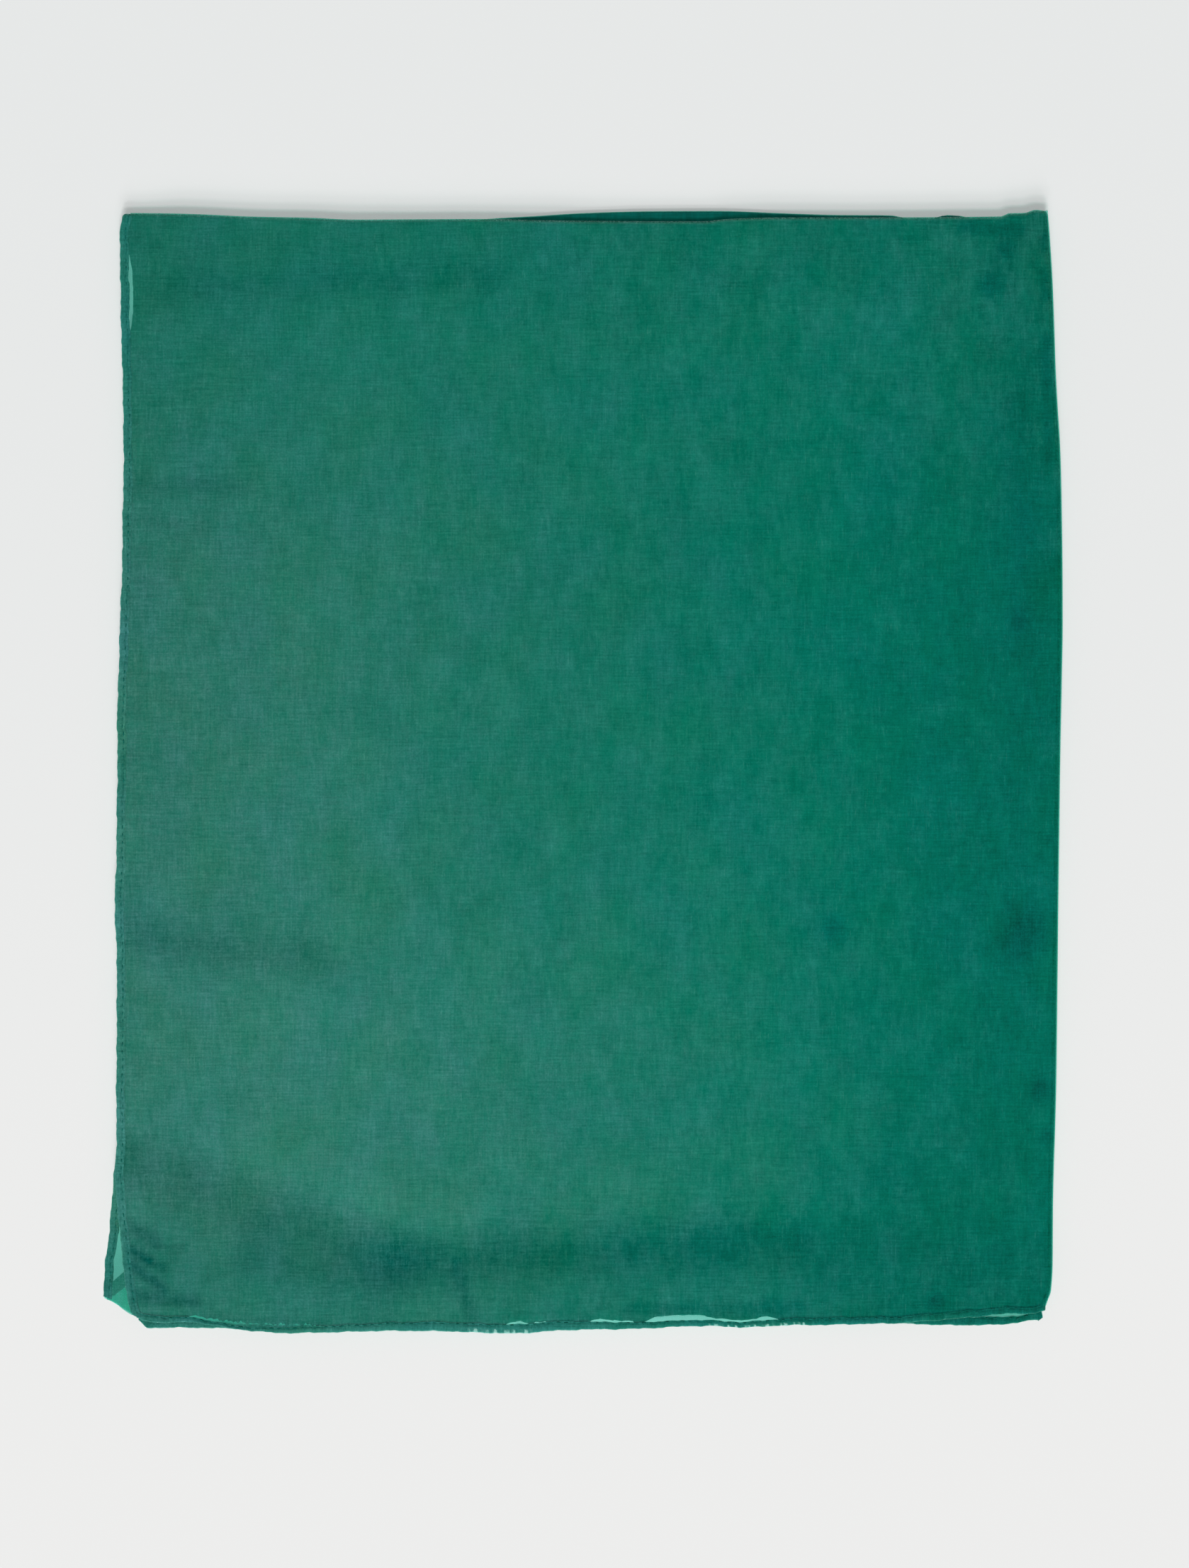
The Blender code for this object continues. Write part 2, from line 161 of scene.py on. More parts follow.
# The outlines, measured on the photograph: (y, x) of points along the left and the right edge, (x, y) of
# points along the bottom and the top one
UPPER = {
    "left": [
        (-234.0, -189.6), (-229.7, -191.9), (-225.8, -192.9), (-221.0, -193.6), (-210.0, -195.3),
        (-204.0, -195.7), (-193.5, -197.0), (-184.0, -197.7), (-171.0, -198.7), (-149.5, -198.0),
        (-124.0, -198.1), (-95.0, -197.8), (-76.0, -198.1), (-57.0, -198.7), (-33.0, -198.1),
        (-3.0, -197.7), (20.0, -197.7), (39.0, -197.3), (63.0, -196.5), (87.0, -195.7),
        (111.0, -195.3), (147.0, -195.0), (171.0, -195.6), (182.0, -195.8), (208.0, -196.4),
        (217.6, -196.6), (230.3, -196.4), (236.3, -195.6), (238.0, -194.7),
    ],
    "right": [
        (-230.5, 196.6), (-224.8, 198.6), (-220.6, 200.0), (-209.2, 200.6), (-188.0, 200.7),
        (-168.8, 201.1), (-150.0, 201.7), (-129.0, 202.2), (-93.4, 202.6), (-33.0, 203.3),
        (15.0, 204.0), (39.0, 204.5), (63.0, 204.9), (87.0, 204.8), (111.0, 204.5),
        (135.6, 203.9), (159.7, 202.5), (172.0, 201.9), (184.0, 201.5), (208.0, 200.6),
        (227.6, 199.4), (238.7, 198.5),
    ],
    "bottom": [
        (-192.0, -230.6), (-189.0, -232.0), (-186.0, -233.2), (-181.0, -233.9), (-168.0, -233.9),
        (-158.0, -235.0), (-148.0, -236.6), (-139.5, -237.5), (-126.6, -238.6), (-96.7, -237.8),
        (-60.6, -237.5), (-43.4, -238.4), (-29.8, -238.6), (-12.7, -237.5), (8.4, -236.9),
        (30.4, -236.3), (55.2, -235.4), (70.5, -236.0), (90.0, -235.1), (129.0, -234.5),
        (144.0, -233.4), (158.0, -232.5), (169.0, -231.6), (177.4, -230.5), (184.6, -230.0),
        (191.7, -230.2), (196.0, -229.2),
    ],
    "top": [
        (-196.0, 237.7), (-194.0, 238.3), (-175.0, 238.0), (-160.0, 237.5), (-142.3, 236.7),
        (-115.0, 236.1), (-97.0, 235.3), (-66.6, 235.5), (-42.0, 235.6), (-12.7, 234.9),
        (53.6, 234.6), (60.3, 235.5), (84.0, 236.2), (136.0, 236.3), (178.7, 236.7),
        (181.6, 238.0), (188.7, 238.2), (192.3, 239.4), (194.6, 239.5), (196.4, 239.0),
        (198.3, 239.3),
    ],
}

LOWER = {
    "left": [
        (-223.0, -203.6), (-214.0, -203.1), (-208.9, -202.8), (-201.9, -201.6), (-189.9, -200.7),
        (-171.0, -199.0), (-150.0, -196.9), (-57.0, -196.7), (0.0, -195.9), (39.0, -195.4),
        (87.0, -194.2), (147.0, -193.5), (180.0, -193.7), (190.0, -191.4), (200.0, -190.8),
        (216.0, -190.8), (222.0, -192.6), (238.0, -193.4),
    ],
    "right": [
        (-233.0, 194.4), (-231.5, 196.2), (-229.0, 195.6), (-222.0, 198.2), (-169.0, 199.8),
        (-93.0, 201.3), (27.0, 202.5), (87.0, 202.5), (148.0, 201.8), (213.0, 198.9),
        (238.0, 197.2),
    ],
    "bottom": [
        (-203.6, -223.6), (-199.8, -224.7), (-194.4, -228.5), (-190.0, -231.6), (-187.0, -234.2),
        (-184.8, -236.0), (-177.0, -236.1), (-152.0, -236.2), (-140.0, -236.5), (-112.0, -236.6),
        (-100.0, -235.4), (-36.0, -235.0), (-24.0, -232.4), (-6.0, -232.6), (4.0, -230.6),
        (84.0, -230.6), (96.0, -232.8), (140.0, -234.3), (158.8, -235.1), (173.3, -234.8),
        (184.8, -233.9), (190.8, -233.0), (200.0, -233.2),
    ],
    "top": [
        (-200.0, 236.6), (-175.0, 236.3), (-142.0, 235.1), (-104.0, 233.8), (-50.0, 233.9),
        (-43.0, 235.1), (-18.7, 236.6), (0.6, 237.8), (29.5, 238.6), (58.5, 238.7),
        (84.0, 237.8), (110.0, 237.0), (130.5, 236.9), (142.0, 235.2), (149.5, 235.8),
        (153.0, 237.0), (160.0, 237.0), (163.0, 235.8), (168.0, 235.3), (176.0, 235.4),
        (184.0, 236.9), (200.0, 237.6),
    ],
}

# The plies between are set back where a single ply shows pale against the surface
BETWEEN = {
    "left": [
        (-232.0, -188.8), (-215.0, -192.0), (-198.0, -193.6), (-165.0, -195.7), (-124.0, -195.4),
        (-57.0, -195.8), (0.0, -195.0), (39.0, -194.5), (87.0, -193.3), (148.0, -192.6),
        (186.0, -192.8), (189.0, -192.0), (193.5, -191.3), (199.0, -191.0), (206.5, -190.7),
        (209.0, -191.1), (215.5, -191.7), (220.0, -192.7), (224.0, -193.8), (238.0, -192.6),
    ],
    "right": UPPER["right"],
    "bottom": [
        (-200.0, -228.4), (-186.0, -231.6), (-169.0, -231.9), (-166.0, -231.3), (-157.0, -232.5),
        (-144.0, -234.0), (-131.0, -234.8), (-118.0, -235.0), (-112.0, -235.4), (-60.0, -235.0),
        (-33.0, -235.2), (-30.0, -233.8), (-27.0, -233.2), (-24.0, -233.9), (-22.0, -234.6),
        (-19.0, -233.6), (-16.0, -233.3), (-13.5, -234.8), (0.0, -234.8), (3.0, -233.6),
        (8.0, -232.5), (13.0, -233.2), (21.0, -233.2), (24.0, -234.4), (27.0, -233.6),
        (31.9, -231.4), (43.4, -230.7), (51.2, -230.7), (54.0, -231.9), (67.0, -232.9),
        (74.0, -232.3), (79.0, -231.3), (86.5, -233.4), (100.0, -233.0), (140.0, -231.4),
        (166.0, -229.4), (200.0, -228.2),
    ],
    "top": UPPER["top"],
}

# How far each ply's edge lies inside that outline, from the lowest ply: at the left, at the bottom
PLY_SETBACKS = (
    (0.5, 0.9),
    (1.3, 0.3),
    (0.7, 1.4),
    (1.5, 0.6),
    (0.4, 1.1),
    (0.0, 0.0),
)

# Where the edge of the plies is frayed and lets pale flecks through: from x, to x, how far. Over the blend
# it starts and ends
FRAYED = ((-166.0, -114.0, 0.80), (-34.0, -8.0, 0.60), (2.0, 23.0, 0.30), (34.0, 84.0, 0.15))
FRAYED_BLEND = 3.0

# Where loose fibres make the border of the bottom hem pale: from x, to x, how pale
BORDER_SPECKS = ((-46.0, -21.0, 2.8), (56.0, 95.0, 2.5))
SPECKS_BLEND = 4.0

# The top hem along the bottom edge: x, width, how dark the painted shade in its groove is
BOTTOM_HEM = (
    (-192.0, 3.4, 0.50), (-182.0, 2.9, 0.75), (-168.0, 2.5, 0.80), (-157.0, 1.9, 0.80),
    (-144.0, 1.8, 0.75), (-131.0, 2.4, 0.60), (-118.0, 2.9, 0.35), (-97.0, 3.3, 0.20),
    (-58.0, 4.0, 0.12), (-18.0, 4.1, 0.12), (10.0, 3.4, 0.16), (34.0, 2.8, 0.22),
    (66.0, 2.5, 0.20), (80.0, 3.0, 0.16), (145.0, 3.1, 0.10), (200.0, 3.0, 0.12),
)

# How dark the painted shade in the groove of the top hem is along the left edge: y, darkness
LEFT_HEM_DARKNESS = (
    (-232.0, 0.55), (-205.0, 0.30), (-160.0, 0.12), (220.0, 0.12), (227.0, 0.50), (240.0, 0.55),
)

# The lower hem along the bottom edge: x, width
LOWER_BOTTOM_HEM = (
    (-190.0, 3.0), (-184.0, 3.8), (-168.0, 3.7), (-157.0, 2.7), (-144.0, 2.1),
    (-115.0, 1.6), (-95.0, 3.9), (158.0, 4.2), (170.0, 4.0), (173.3, 3.6),
    (182.2, 3.1), (187.0, 2.8), (191.0, 3.0), (193.0, 4.4), (200.0, 4.6),
)

# Soft creases and dimples: from x, from y, to x, to y, half width, height, and the painted highlight (above
# 0) and painted shade (below 0) on them
CREASES = (
    (-190.0, -164.0, -78.0, -207.0, 13.0, -0.8, -0.20),
    (-78.0, -207.0, 88.0, -197.0, 11.0, -0.7, -0.17),
    (88.0, -197.0, 140.0, -193.0, 12.0, -0.5, -0.03),
    (-140.0, -207.0, -90.0, -222.0, 11.0, -0.15, -0.10),
    (-188.0, -146.0, -60.0, -186.0, 12.0, 0.5, 0.05),
    (-150.0, -212.0, -60.0, -226.0, 9.0, 0.45, 0.0),
    (-192.3, -68.9, -111.5, -79.5, 9.0, -0.45, -0.15),
    (-190.0, 122.4, -142.0, 122.4, 4.0, -0.35, -0.09),
    (-188.0, 117.4, -150.0, 117.4, 3.0, 0.30, 0.04),
    (-186.0, 109.0, -165.0, 104.0, 3.5, -0.20, -0.05),
    (-192.0, 6.6, -181.0, 6.6, 2.0, -0.25, -0.08),
    (-178.0, 207.4, -40.0, 213.0, 7.0, -0.45, -0.09),
    (-166.0, -232.0, -150.0, -233.5, 2.0, 0.0, -0.10),
    (-150.0, -233.5, -112.0, -235.5, 2.0, 0.0, -0.10),
    (162.0, 232.0, 186.0, 231.0, 3.4, -0.30, -0.20),
    (196.8, 228.0, 196.8, 223.0, 1.6, -0.20, -0.16),
    (196.8, 214.0, 197.0, 202.0, 1.6, -0.20, -0.16),
    (197.4, 184.0, 198.6, 132.0, 1.8, -0.30, -0.18),
    (188.0, 178.0, 190.0, 60.0, 9.0, -0.40, -0.06),
    (-191.7, -203.0, -184.2, -207.7, 1.8, -0.45, -0.40),
    (-184.2, -207.7, -178.0, -210.4, 1.8, -0.40, -0.26),
    (-192.0, -209.0, -177.5, -220.0, 2.0, -0.45, -0.34),
    (-192.4, -192.6, -181.4, -199.4, 2.6, -0.35, -0.22),
    (-182.0, -201.4, -169.8, -202.3, 0.9, -0.20, -0.16),
    (-189.0, -222.4, -165.0, -225.4, 2.8, -0.40, -0.26),
    (-188.0, -228.0, -165.0, -229.2, 1.8, 0.35, 0.10),
    (-189.0, -216.0, -183.0, -220.0, 1.6, 0.30, 0.06),
    (-53.6, -208.9, -47.6, -230.6, 2.4, -0.45, -0.26),
    (-46.0, -212.0, -41.0, -230.0, 3.0, 0.30, 0.05),
    (20.0, -228.5, 92.0, -227.5, 3.2, -0.35, -0.14),
    (150.7, -225.7, 150.7, -224.7, 2.4, -0.40, -0.52),
    (107.6, -66.9, 107.6, -66.0, 5.0, -0.30, -0.32),
    (185.4, -73.0, 188.4, -66.0, 8.0, -0.25, -0.38),
    (194.7, -135.0, 194.7, -134.0, 3.8, -0.25, -0.42),
    (186.3, 63.9, 186.3, 64.9, 4.0, -0.25, -0.24),
    (173.9, 206.8, 173.9, 207.8, 4.0, -0.25, -0.26),
    (180.8, 222.1, 180.8, 223.1, 3.0, -0.25, -0.28),
    (198.0, -154.3, 198.0, -153.3, 2.5, -0.20, -0.32),
    (161.3, -157.0, 161.3, -156.0, 4.0, 0.25, 0.08),
    (173.3, -155.2, 173.3, -154.2, 4.0, 0.25, 0.08),
    (-30.0, 60.0, 40.0, 20.0, 22.0, 0.35, 0.03),
)

# The corner of the lowest ply that is turned back under the flap: x, y of points along its folded edge,
# along the inner edge of its hem and along the hem's outer edge
TURNBACK_FOLD = ((-203.2, -223.4), (-200.0, -224.8), (-194.4, -228.3), (-188.0, -232.0))
TURNBACK_SEAM = ((-203.0, -222.9), (-199.0, -222.4), (-193.8, -218.4), (-187.0, -212.6))
TURNBACK_EDGE = ((-203.0, -218.6), (-199.4, -216.3), (-195.4, -212.8), (-188.0, -206.4))
TURNBACK_HEIGHT = 0.22
TURNBACK_POINTS = (22, 7)
# How much paler the turned-back corner and its hem are painted: painted light, which also thins them a little
TURNBACK_SHADE = 1.1
TURNBACK_HEM_SHADE = 0.38

# The flap lies in the shade of the packet: its middle, its reach and how much darker
FLAP_MIDDLE = (-196.0, -216.0)
FLAP_REACH = 34.0
FLAP_SHADE = -0.17

# The lower end of the lowest ply's side hem: its y, how slanted it is and how far up the slant reaches
LOWER_END = -223.4
LOWER_END_SLANT = 0.38
LOWER_END_REACH = 5.0

# Painted highlights at the folds and on the hem rims, which thin the cloth there a little; painted shade on
# the lowest ply's fold and on what lies behind the top fold; and how far each reaches
TOP_FOLD_GLOW = 1.7
RIGHT_FOLD_GLOW = 0.20
FOLD_GLOW_REACH = 1.6
LOWER_FOLD_SHADE = -0.35
LOWER_FOLD_GLOW = 2.3
LOWER_FOLD_GLOW_REACH = 0.6
HEM_EDGE_GLOW = 0.7
BEHIND_TOP_SHADE = -0.30
BEHIND_TOP_BLEND = 1.2

# Light: shares of the brightness of a white surface that faces up. A low light is how high it stands, how
# far to the side it is turned, both in degrees, and its share
SKY_LIGHT = 0.16
SKY_COLOUR = (0.99, 1.0, 1.0, 1.0)
LOW_LIGHTS = (
    (24.0, 0.0, 0.04),
    (32.0, -10.0, 0.09),
    (32.0, 10.0, 0.09),
    (44.0, 0.0, 0.30),
    (58.0, -12.0, 0.24),
    (58.0, 12.0, 0.24),
)
LOW_LIGHT = 0.50
LOW_LIGHT_SPREAD = math.radians(10.0)
FLOOR_ALBEDO = 0.80
FLOOR_GLOW = 0.312
# The floor is painted a little brighter towards the bottom and greyer towards the top, as painted light:
# where that runs from and to, and the tints at both ends
FLOOR_FROM_Y, FLOOR_TO_Y = -330.0, 330.0
FLOOR_TINTS = ((1.012, 1.012, 1.004), (0.945, 0.962, 0.958))
FLOOR_SIZE = 14000.0
FLOOR_DROP = 0.06

# Painted sheen, a greying of the dye that stands in for light reflected off the cloth: across the packet,
# then near the top and near the bottom
SHEEN_SLANT = 0.2
SHEEN_FROM, SHEEN_TO = -215.0, 200.0
SHEEN_POWER = 1.25
SHEEN_MOST, SHEEN_LEAST = 0.78, -0.02
SHEEN_TOP_FROM, SHEEN_TOP_TO = 50.0, 228.0
SHEEN_TOP_SHARE, SHEEN_AT_TOP = 0.75, 0.15
SHEEN_BOTTOM_FROM, SHEEN_BOTTOM_TO = -182.0, -212.0
SHEEN_KEPT_AT_BOTTOM = 0.72
SHEEN_MOTTLE_BASE = 0.18
# How much the painted shade and highlights of creases and folds move the painted sheen and the brightness
SHEEN_IN_CREASES = 1.05
DARKNESS_IN_CREASES = 0.43

# Where the painted sheen is weakest, near the middle: x, y, how far that reaches and how much less sheen
LEAST_SHEEN_MIDDLE = (-25.0, -5.0, 130.0, 0.10)

# Slow changes of brightness over the packet: from, to, how much. It never falls below the last value
PALER_BELOW = (110.0, -150.0, 0.10)
DARKER_BOTTOM = (-184.0, -212.0, -0.10)
DARKER_RIGHT = (80.0, 210.0, -0.18)
DARKER_RIGHT_SLANT = -0.15
DARKER_LEFT = (-100.0, -195.0, -0.08)
DARKER_TOP = (185.0, 225.0, -0.06)
DARKEST = 0.08

# The mottles are livelier at the right: from x, to x, from share, to share
LIVELIER = (-190.0, 190.0, 0.70, 1.65)

# The patterns of the cloth: how fine each is along x, y and z, its detail, its roughness and its shift
PATTERNS = {
    "blotch": ((0.105, 0.055, 0.1), 1.0, 0.55, 0.0),
    "patch": ((0.42, 0.24, 0.3), 1.0, 0.6, 31.0),
    "upright": ((1.25, 0.10, 0.4), 1.0, 0.6, 57.0),
    "lying": ((0.09, 1.25, 0.4), 1.0, 0.6, 83.0),
    "grain": ((1.3, 1.2, 0.4), 1.0, 0.7, 99.0),
    "tone": ((0.035, 0.03, 0.1), 0.0, 0.5, 120.0),
    "pale_slub": ((2.2, 0.20, 0.4), 1.0, 0.5, 140.0),
    "dark_slub": ((0.14, 2.2, 0.4), 1.0, 0.5, 170.0),
}
SHIFT_WAY = (1.0, 0.7, 0.3)

# How much each mottle and each kind of thread moves the brightness and the mix towards the sheened colour
MOTTLES = {"blotch": (0.21, 0.92), "patch": (0.25, 0.60)}
THREADS = {"upright": (0.38, 0.38), "lying": (0.43, 0.30), "grain": (0.58, 0.52)}
SLUB_RANGE = (0.63, 0.75)
PALE_SLUB = 0.18
DARK_SLUB = -0.20
BLUE_IN_BLOTCHES = 0.26
BLUE_IN_TONES = 0.30

# Pale flecks, loose fibre at the border specks and painted highlight on the rims, the folds and the
# turned-back
# corner: the shades they go from and to, how much the grain breaks them up, how much they cover and their
# colour
FLECK_SHADES = (0.7, 2.4)
GRAIN_IN_FLECKS = 3.0
FLECK_COVER = 0.35
FLECK_COLOUR = (0.36, 0.78, 0.68)

# How much of a ply and of a hem is thread, and what its threads, and its painted shade and highlights up to a
# limit, add
PLY_COVER = 0.37
HEM_COVER = 0.86
THREAD_COVER = 0.12
SHADE_COVER = -0.3
SHADE_COVER_TO = 0.6

# The colours of the light let through, of the dyed cloth bare and greyed by painted sheen, and of the sewing
# thread
LIGHT_THROUGH = (0.34, 0.935, 0.80)
DEEP_COLOUR = (0.002, 0.350, 0.272)
SHEENED_COLOUR = (0.150, 0.430, 0.382)
STACK_DEEP_COLOUR = (0.003, 0.283, 0.228)
STACK_SHEENED_COLOUR = (0.115, 0.341, 0.307)
HEM_DEEP_COLOUR = (0.003, 0.268, 0.206)
HEM_SHEENED_COLOUR = (0.078, 0.338, 0.276)
# The thread is its own green painted darker than the cloth: painted shade where it sinks into the hem
THREAD_COLOUR = (0.003, 0.165, 0.126)

# The surfaces: constants of each shader, and how high and how strong each bump is
CLOTH_SURFACE = {
    "Roughness": 0.85,
    "Specular IOR Level": 0.08,
    "Sheen Weight": 0.06,
    "Sheen Roughness": 0.45,
    "Sheen Tint": (0.35, 0.85, 0.72, 1.0),
}
CLOTH_BUMP = (0.06, 0.35)
THREAD_SURFACE = {"Roughness": 0.7, "Specular IOR Level": 0.1}
THREAD_BUMP = (0.05, 0.4)
THREAD_TWIST = 2600.0
THREAD_TWIST_RANGE = (0.3, 0.7, 0.6, 1.5)
FLOOR_SURFACE = {"Roughness": 1.0, "Specular IOR Level": 0.0, "Emission Strength": FLOOR_GLOW}


def line_through(rows):
    """A smooth line through the rows of a table, which never swings past them, as a function."""
    along, across = (np.array(column, float) for column in zip(*rows))
    steps = np.diff(across) / np.diff(along)
    before, after = steps[:-1], steps[1:]
    same_way = before * after > 0.0
    inner = np.where(same_way, 2.0 * before * after / np.where(same_way, before + after, 1.0), 0.0)
    slopes = np.concatenate([steps[:1], inner, steps[-1:]])

    def value(at):
        at = np.clip(at, along[0], along[-1])
        row = np.clip(np.searchsorted(along, at, side="right") - 1, 0, len(along) - 2)
        span = along[row + 1] - along[row]
        share = (at - along[row]) / span
        rise = share * share * (3.0 - 2.0 * share)
        bend = span * share * (1.0 - share)
        flat = across[row] + (across[row + 1] - across[row]) * rise
        return flat + bend * ((1.0 - share) * slopes[row] - share * slopes[row + 1])

    return value


def waves(seed, lengths, sizes):
    """A fixed irregular line: waves of these lengths and sizes added up, as a function of the distance."""
    random = np.random.default_rng(seed)
    phases = random.uniform(0.0, 2.0 * math.pi, len(lengths))

    def value(at):
        total = 0.0
        for length, size, phase in zip(lengths, sizes, phases):
            total = total + size * np.sin(2.0 * math.pi * at / length + phase)
        return total

    return value


def added(line, more):
    return lambda at: line(at) + more(at)


def outline(edges, ragged, scale=1.0):
    """The lines of a table of edges at a scale, with the named ones made irregular by these waves."""
    lines = {side: line_through(scale * np.array(rows)) for side, rows in edges.items()}
    for side, more in ragged.items():
        lines[side] = added(lines[side], more)
    return lines


def between(low, high, share):
    return low + (high - low) * share


def fading(distance, reach):
    """1 at no distance, falling smoothly to 0 at the reach."""
    share = np.clip(distance / reach, 0.0, 1.0)
    return 1.0 - share * share * (3.0 - 2.0 * share)


def hem_edges(seed):
    return {side: waves(seed + number, *HEM_EDGE_WAVES) for number, side in enumerate(("left", "bottom"))}


def always(value):
    return lambda at: np.full(len(at), value)


UPPER_LINES = outline(UPPER, hem_edges(11))
LOWER_LINES = outline(LOWER, hem_edges(21), LOWER_SCALE)
BETWEEN_LINES = outline(BETWEEN, {})
BOTTOM_HEM_WIDTH = line_through([(x, width) for x, width, _ in BOTTOM_HEM])
BOTTOM_HEM_DARKNESS = line_through([(x, darkness) for x, _, darkness in BOTTOM_HEM])
LEFT_HEM_DARK = line_through(LEFT_HEM_DARKNESS)
LOWER_HEM_WIDTH = line_through(LOWER_BOTTOM_HEM)


def place(lines, across, pulled_x, up, pulled_y):
    """x and y of points that lie these shares of the way across and up, pulled in by these distances."""
    x = between(-HALF_WIDTH, HALF_WIDTH, across)
    y = between(-HALF_LENGTH, HALF_LENGTH, up)
    for _ in range(6):
        new_x = between(lines["left"](y), lines["right"](y), across) - pulled_x
        new_y = between(lines["bottom"](x), lines["top"](x), up) - pulled_y
        x, y = new_x, new_y
    return x, y


def crease_sum(x, y, column):
    """What the soft creases add at x, y: their heights (column 5) or their painted shade and highlight
    (column 6).
    """
    total = np.zeros(np.broadcast(x, y).shape)
    for crease in CREASES:
        from_x, from_y, to_x, to_y, half_width = crease[:5]
        run_x, run_y = to_x - from_x, to_y - from_y
        along = ((x - from_x) * run_x + (y - from_y) * run_y) / (run_x**2 + run_y**2)
        along = np.clip(along, 0.0, 1.0)
        away = np.hypot(x - from_x - along * run_x, y - from_y - along * run_y)
        total += crease[column] * np.exp(-((away / half_width) ** 2))
    return total


def swell(x, y):
    """The slight unevenness of the cloth between its creases."""
    random = np.random.default_rng(5)
    total = np.zeros(np.broadcast(x, y).shape)
    for length, size in SWELLS:
        for _ in range(2):
            way, phase = random.uniform(0.0, 2.0 * math.pi, 2)
            total += size * np.sin(2.0 * math.pi * (x * math.cos(way) + y * math.sin(way)) / length + phase)
    return total


def upper_height(x, y):
    """Height of the top ply: it sinks towards the hems, where the plies lie closer."""
    from_left = x - UPPER_LINES["left"](y)
    from_bottom = y - UPPER_LINES["bottom"](x)
    from_right = UPPER_LINES["right"](y) - x
    from_top = UPPER_LINES["top"](x) - y
    sink = np.maximum(fading(from_left, EDGE_SINK_REACH), fading(from_bottom, EDGE_SINK_REACH))
    edge = np.minimum(np.minimum(from_left, from_bottom), np.minimum(from_right, from_top))
    calm = 1.0 - CREASE_LOST_AT_EDGE * fading(edge, EDGE_SINK_REACH)
    crease = (crease_sum(x, y, 5) + swell(x, y)) * calm
    return MIDDLE_HEIGHT - EDGE_SINK * sink + np.minimum(crease, CREASE_MOST)


# The painted shade and highlight that the creases lay on each point
def crease_shade(points):
    return crease_sum(points[:, 0], points[:, 1], 6)


def painted_fold_highlight(points):
    """Painted highlight: how much paler the upper layer is painted at its top and right folds, which also
    thins it a little.
    """
    x, y = points[:, 0], points[:, 1]
    at_top = TOP_FOLD_GLOW * fading(UPPER_LINES["top"](x) - y, FOLD_GLOW_REACH)
    at_right = RIGHT_FOLD_GLOW * fading(UPPER_LINES["right"](y) - x, FOLD_GLOW_REACH)
    return np.maximum(at_top, at_right)


def flap_shade(points):
    away = np.hypot(points[:, 0] - FLAP_MIDDLE[0], points[:, 1] - FLAP_MIDDLE[1])
    return FLAP_SHADE * fading(away, FLAP_REACH)


def upper_hem_shade(points):
    return HEM_CREASE_SHARE * crease_shade(points) + painted_fold_highlight(points)


def lower_hem_shade(points):
    return HEM_CREASE_SHARE * flap_shade(points)


def stations(zones):
    """Shares of a length where rows of points lie. A zone is (where it ends, the step in it)."""
    found = [0.0]
    start = 0.0
    for end, step in zones:
        count = max(1, round((end - start) / step))
        found += [between(start, end, number / count) for number in range(1, count + 1)]
        start = end
    return np.array(found) / start


def add_mesh(name, points, faces, material, shade=None):
    """An object from points in millimetres and lists of their numbers."""
    data = bpy.data.meshes.new(name)
    data.from_pydata([tuple(point) for point in np.asarray(points, float) * MM], [], faces)
    if shade is not None:
        shades = data.attributes.new("shade", "FLOAT", "POINT")
        shades.data.foreach_set("value", np.asarray(shade, np.float32))
    data.shade_smooth()
    data.set_sharp_from_angle(angle=SHARP_FROM)
    data.materials.append(material)
    thing = bpy.data.objects.new(name, data)
    bpy.context.scene.collection.objects.link(thing)
    return thing


def rows_of_faces(rows, columns, first=0, ring=False):
    """Faces between rows of points that are numbered row by row, each row open or a closed ring."""
    last = columns if ring else columns - 1
    faces = []
    for row in range(rows - 1):
        low, high = first + row * columns, first + (row + 1) * columns
        for step in range(last):
            onward = (step + 1) % columns
            faces.append((low + step, low + onward, high + onward, high + step))
    return faces


def turned(shares, turn):
    """Stations (share, pulled in, dropped) over a panel and a quarter turn round the fold at its end."""
    out, down = turn
    angles = np.linspace(0.0, math.pi / 2.0, TURN_STEPS + 1)
    found = [(share, 0.0, 0.0) for share in shares[:-1]]
    found += [(1.0, out * (1.0 - math.sin(angle)), down * (1.0 - math.cos(angle))) for angle in angles]
    return np.array(found)


def upper_points(columns, rows):
    """Points of the top ply at these stations."""
    x, y = place(UPPER_LINES, columns[:, 0], columns[:, 1], rows[:, 0], rows[:, 1])
    z = upper_height(x, y) - np.maximum(columns[:, 2], rows[:, 2])
    return np.stack([x, y, z], axis=-1)


def under_the_fold(border, out, way, rims):
    """Rows that carry the points of a border down and back under, each along its way to its rim height."""
    rows = []
    top = border[:, 2]
    for angle in np.linspace(math.pi / 2.0, UNDER_TURN, UNDER_STEPS + 1)[1:]:
        share = -math.cos(angle) / -math.cos(UNDER_TURN)
        tuck = out * (1.0 - math.sin(angle))
        row = border.copy()
        row[:, 0] -= way[:, 0] * tuck
        row[:, 1] -= way[:, 1] * tuck
        row[:, 2] = between(top, rims, share)
        rows.append(row)
    return rows


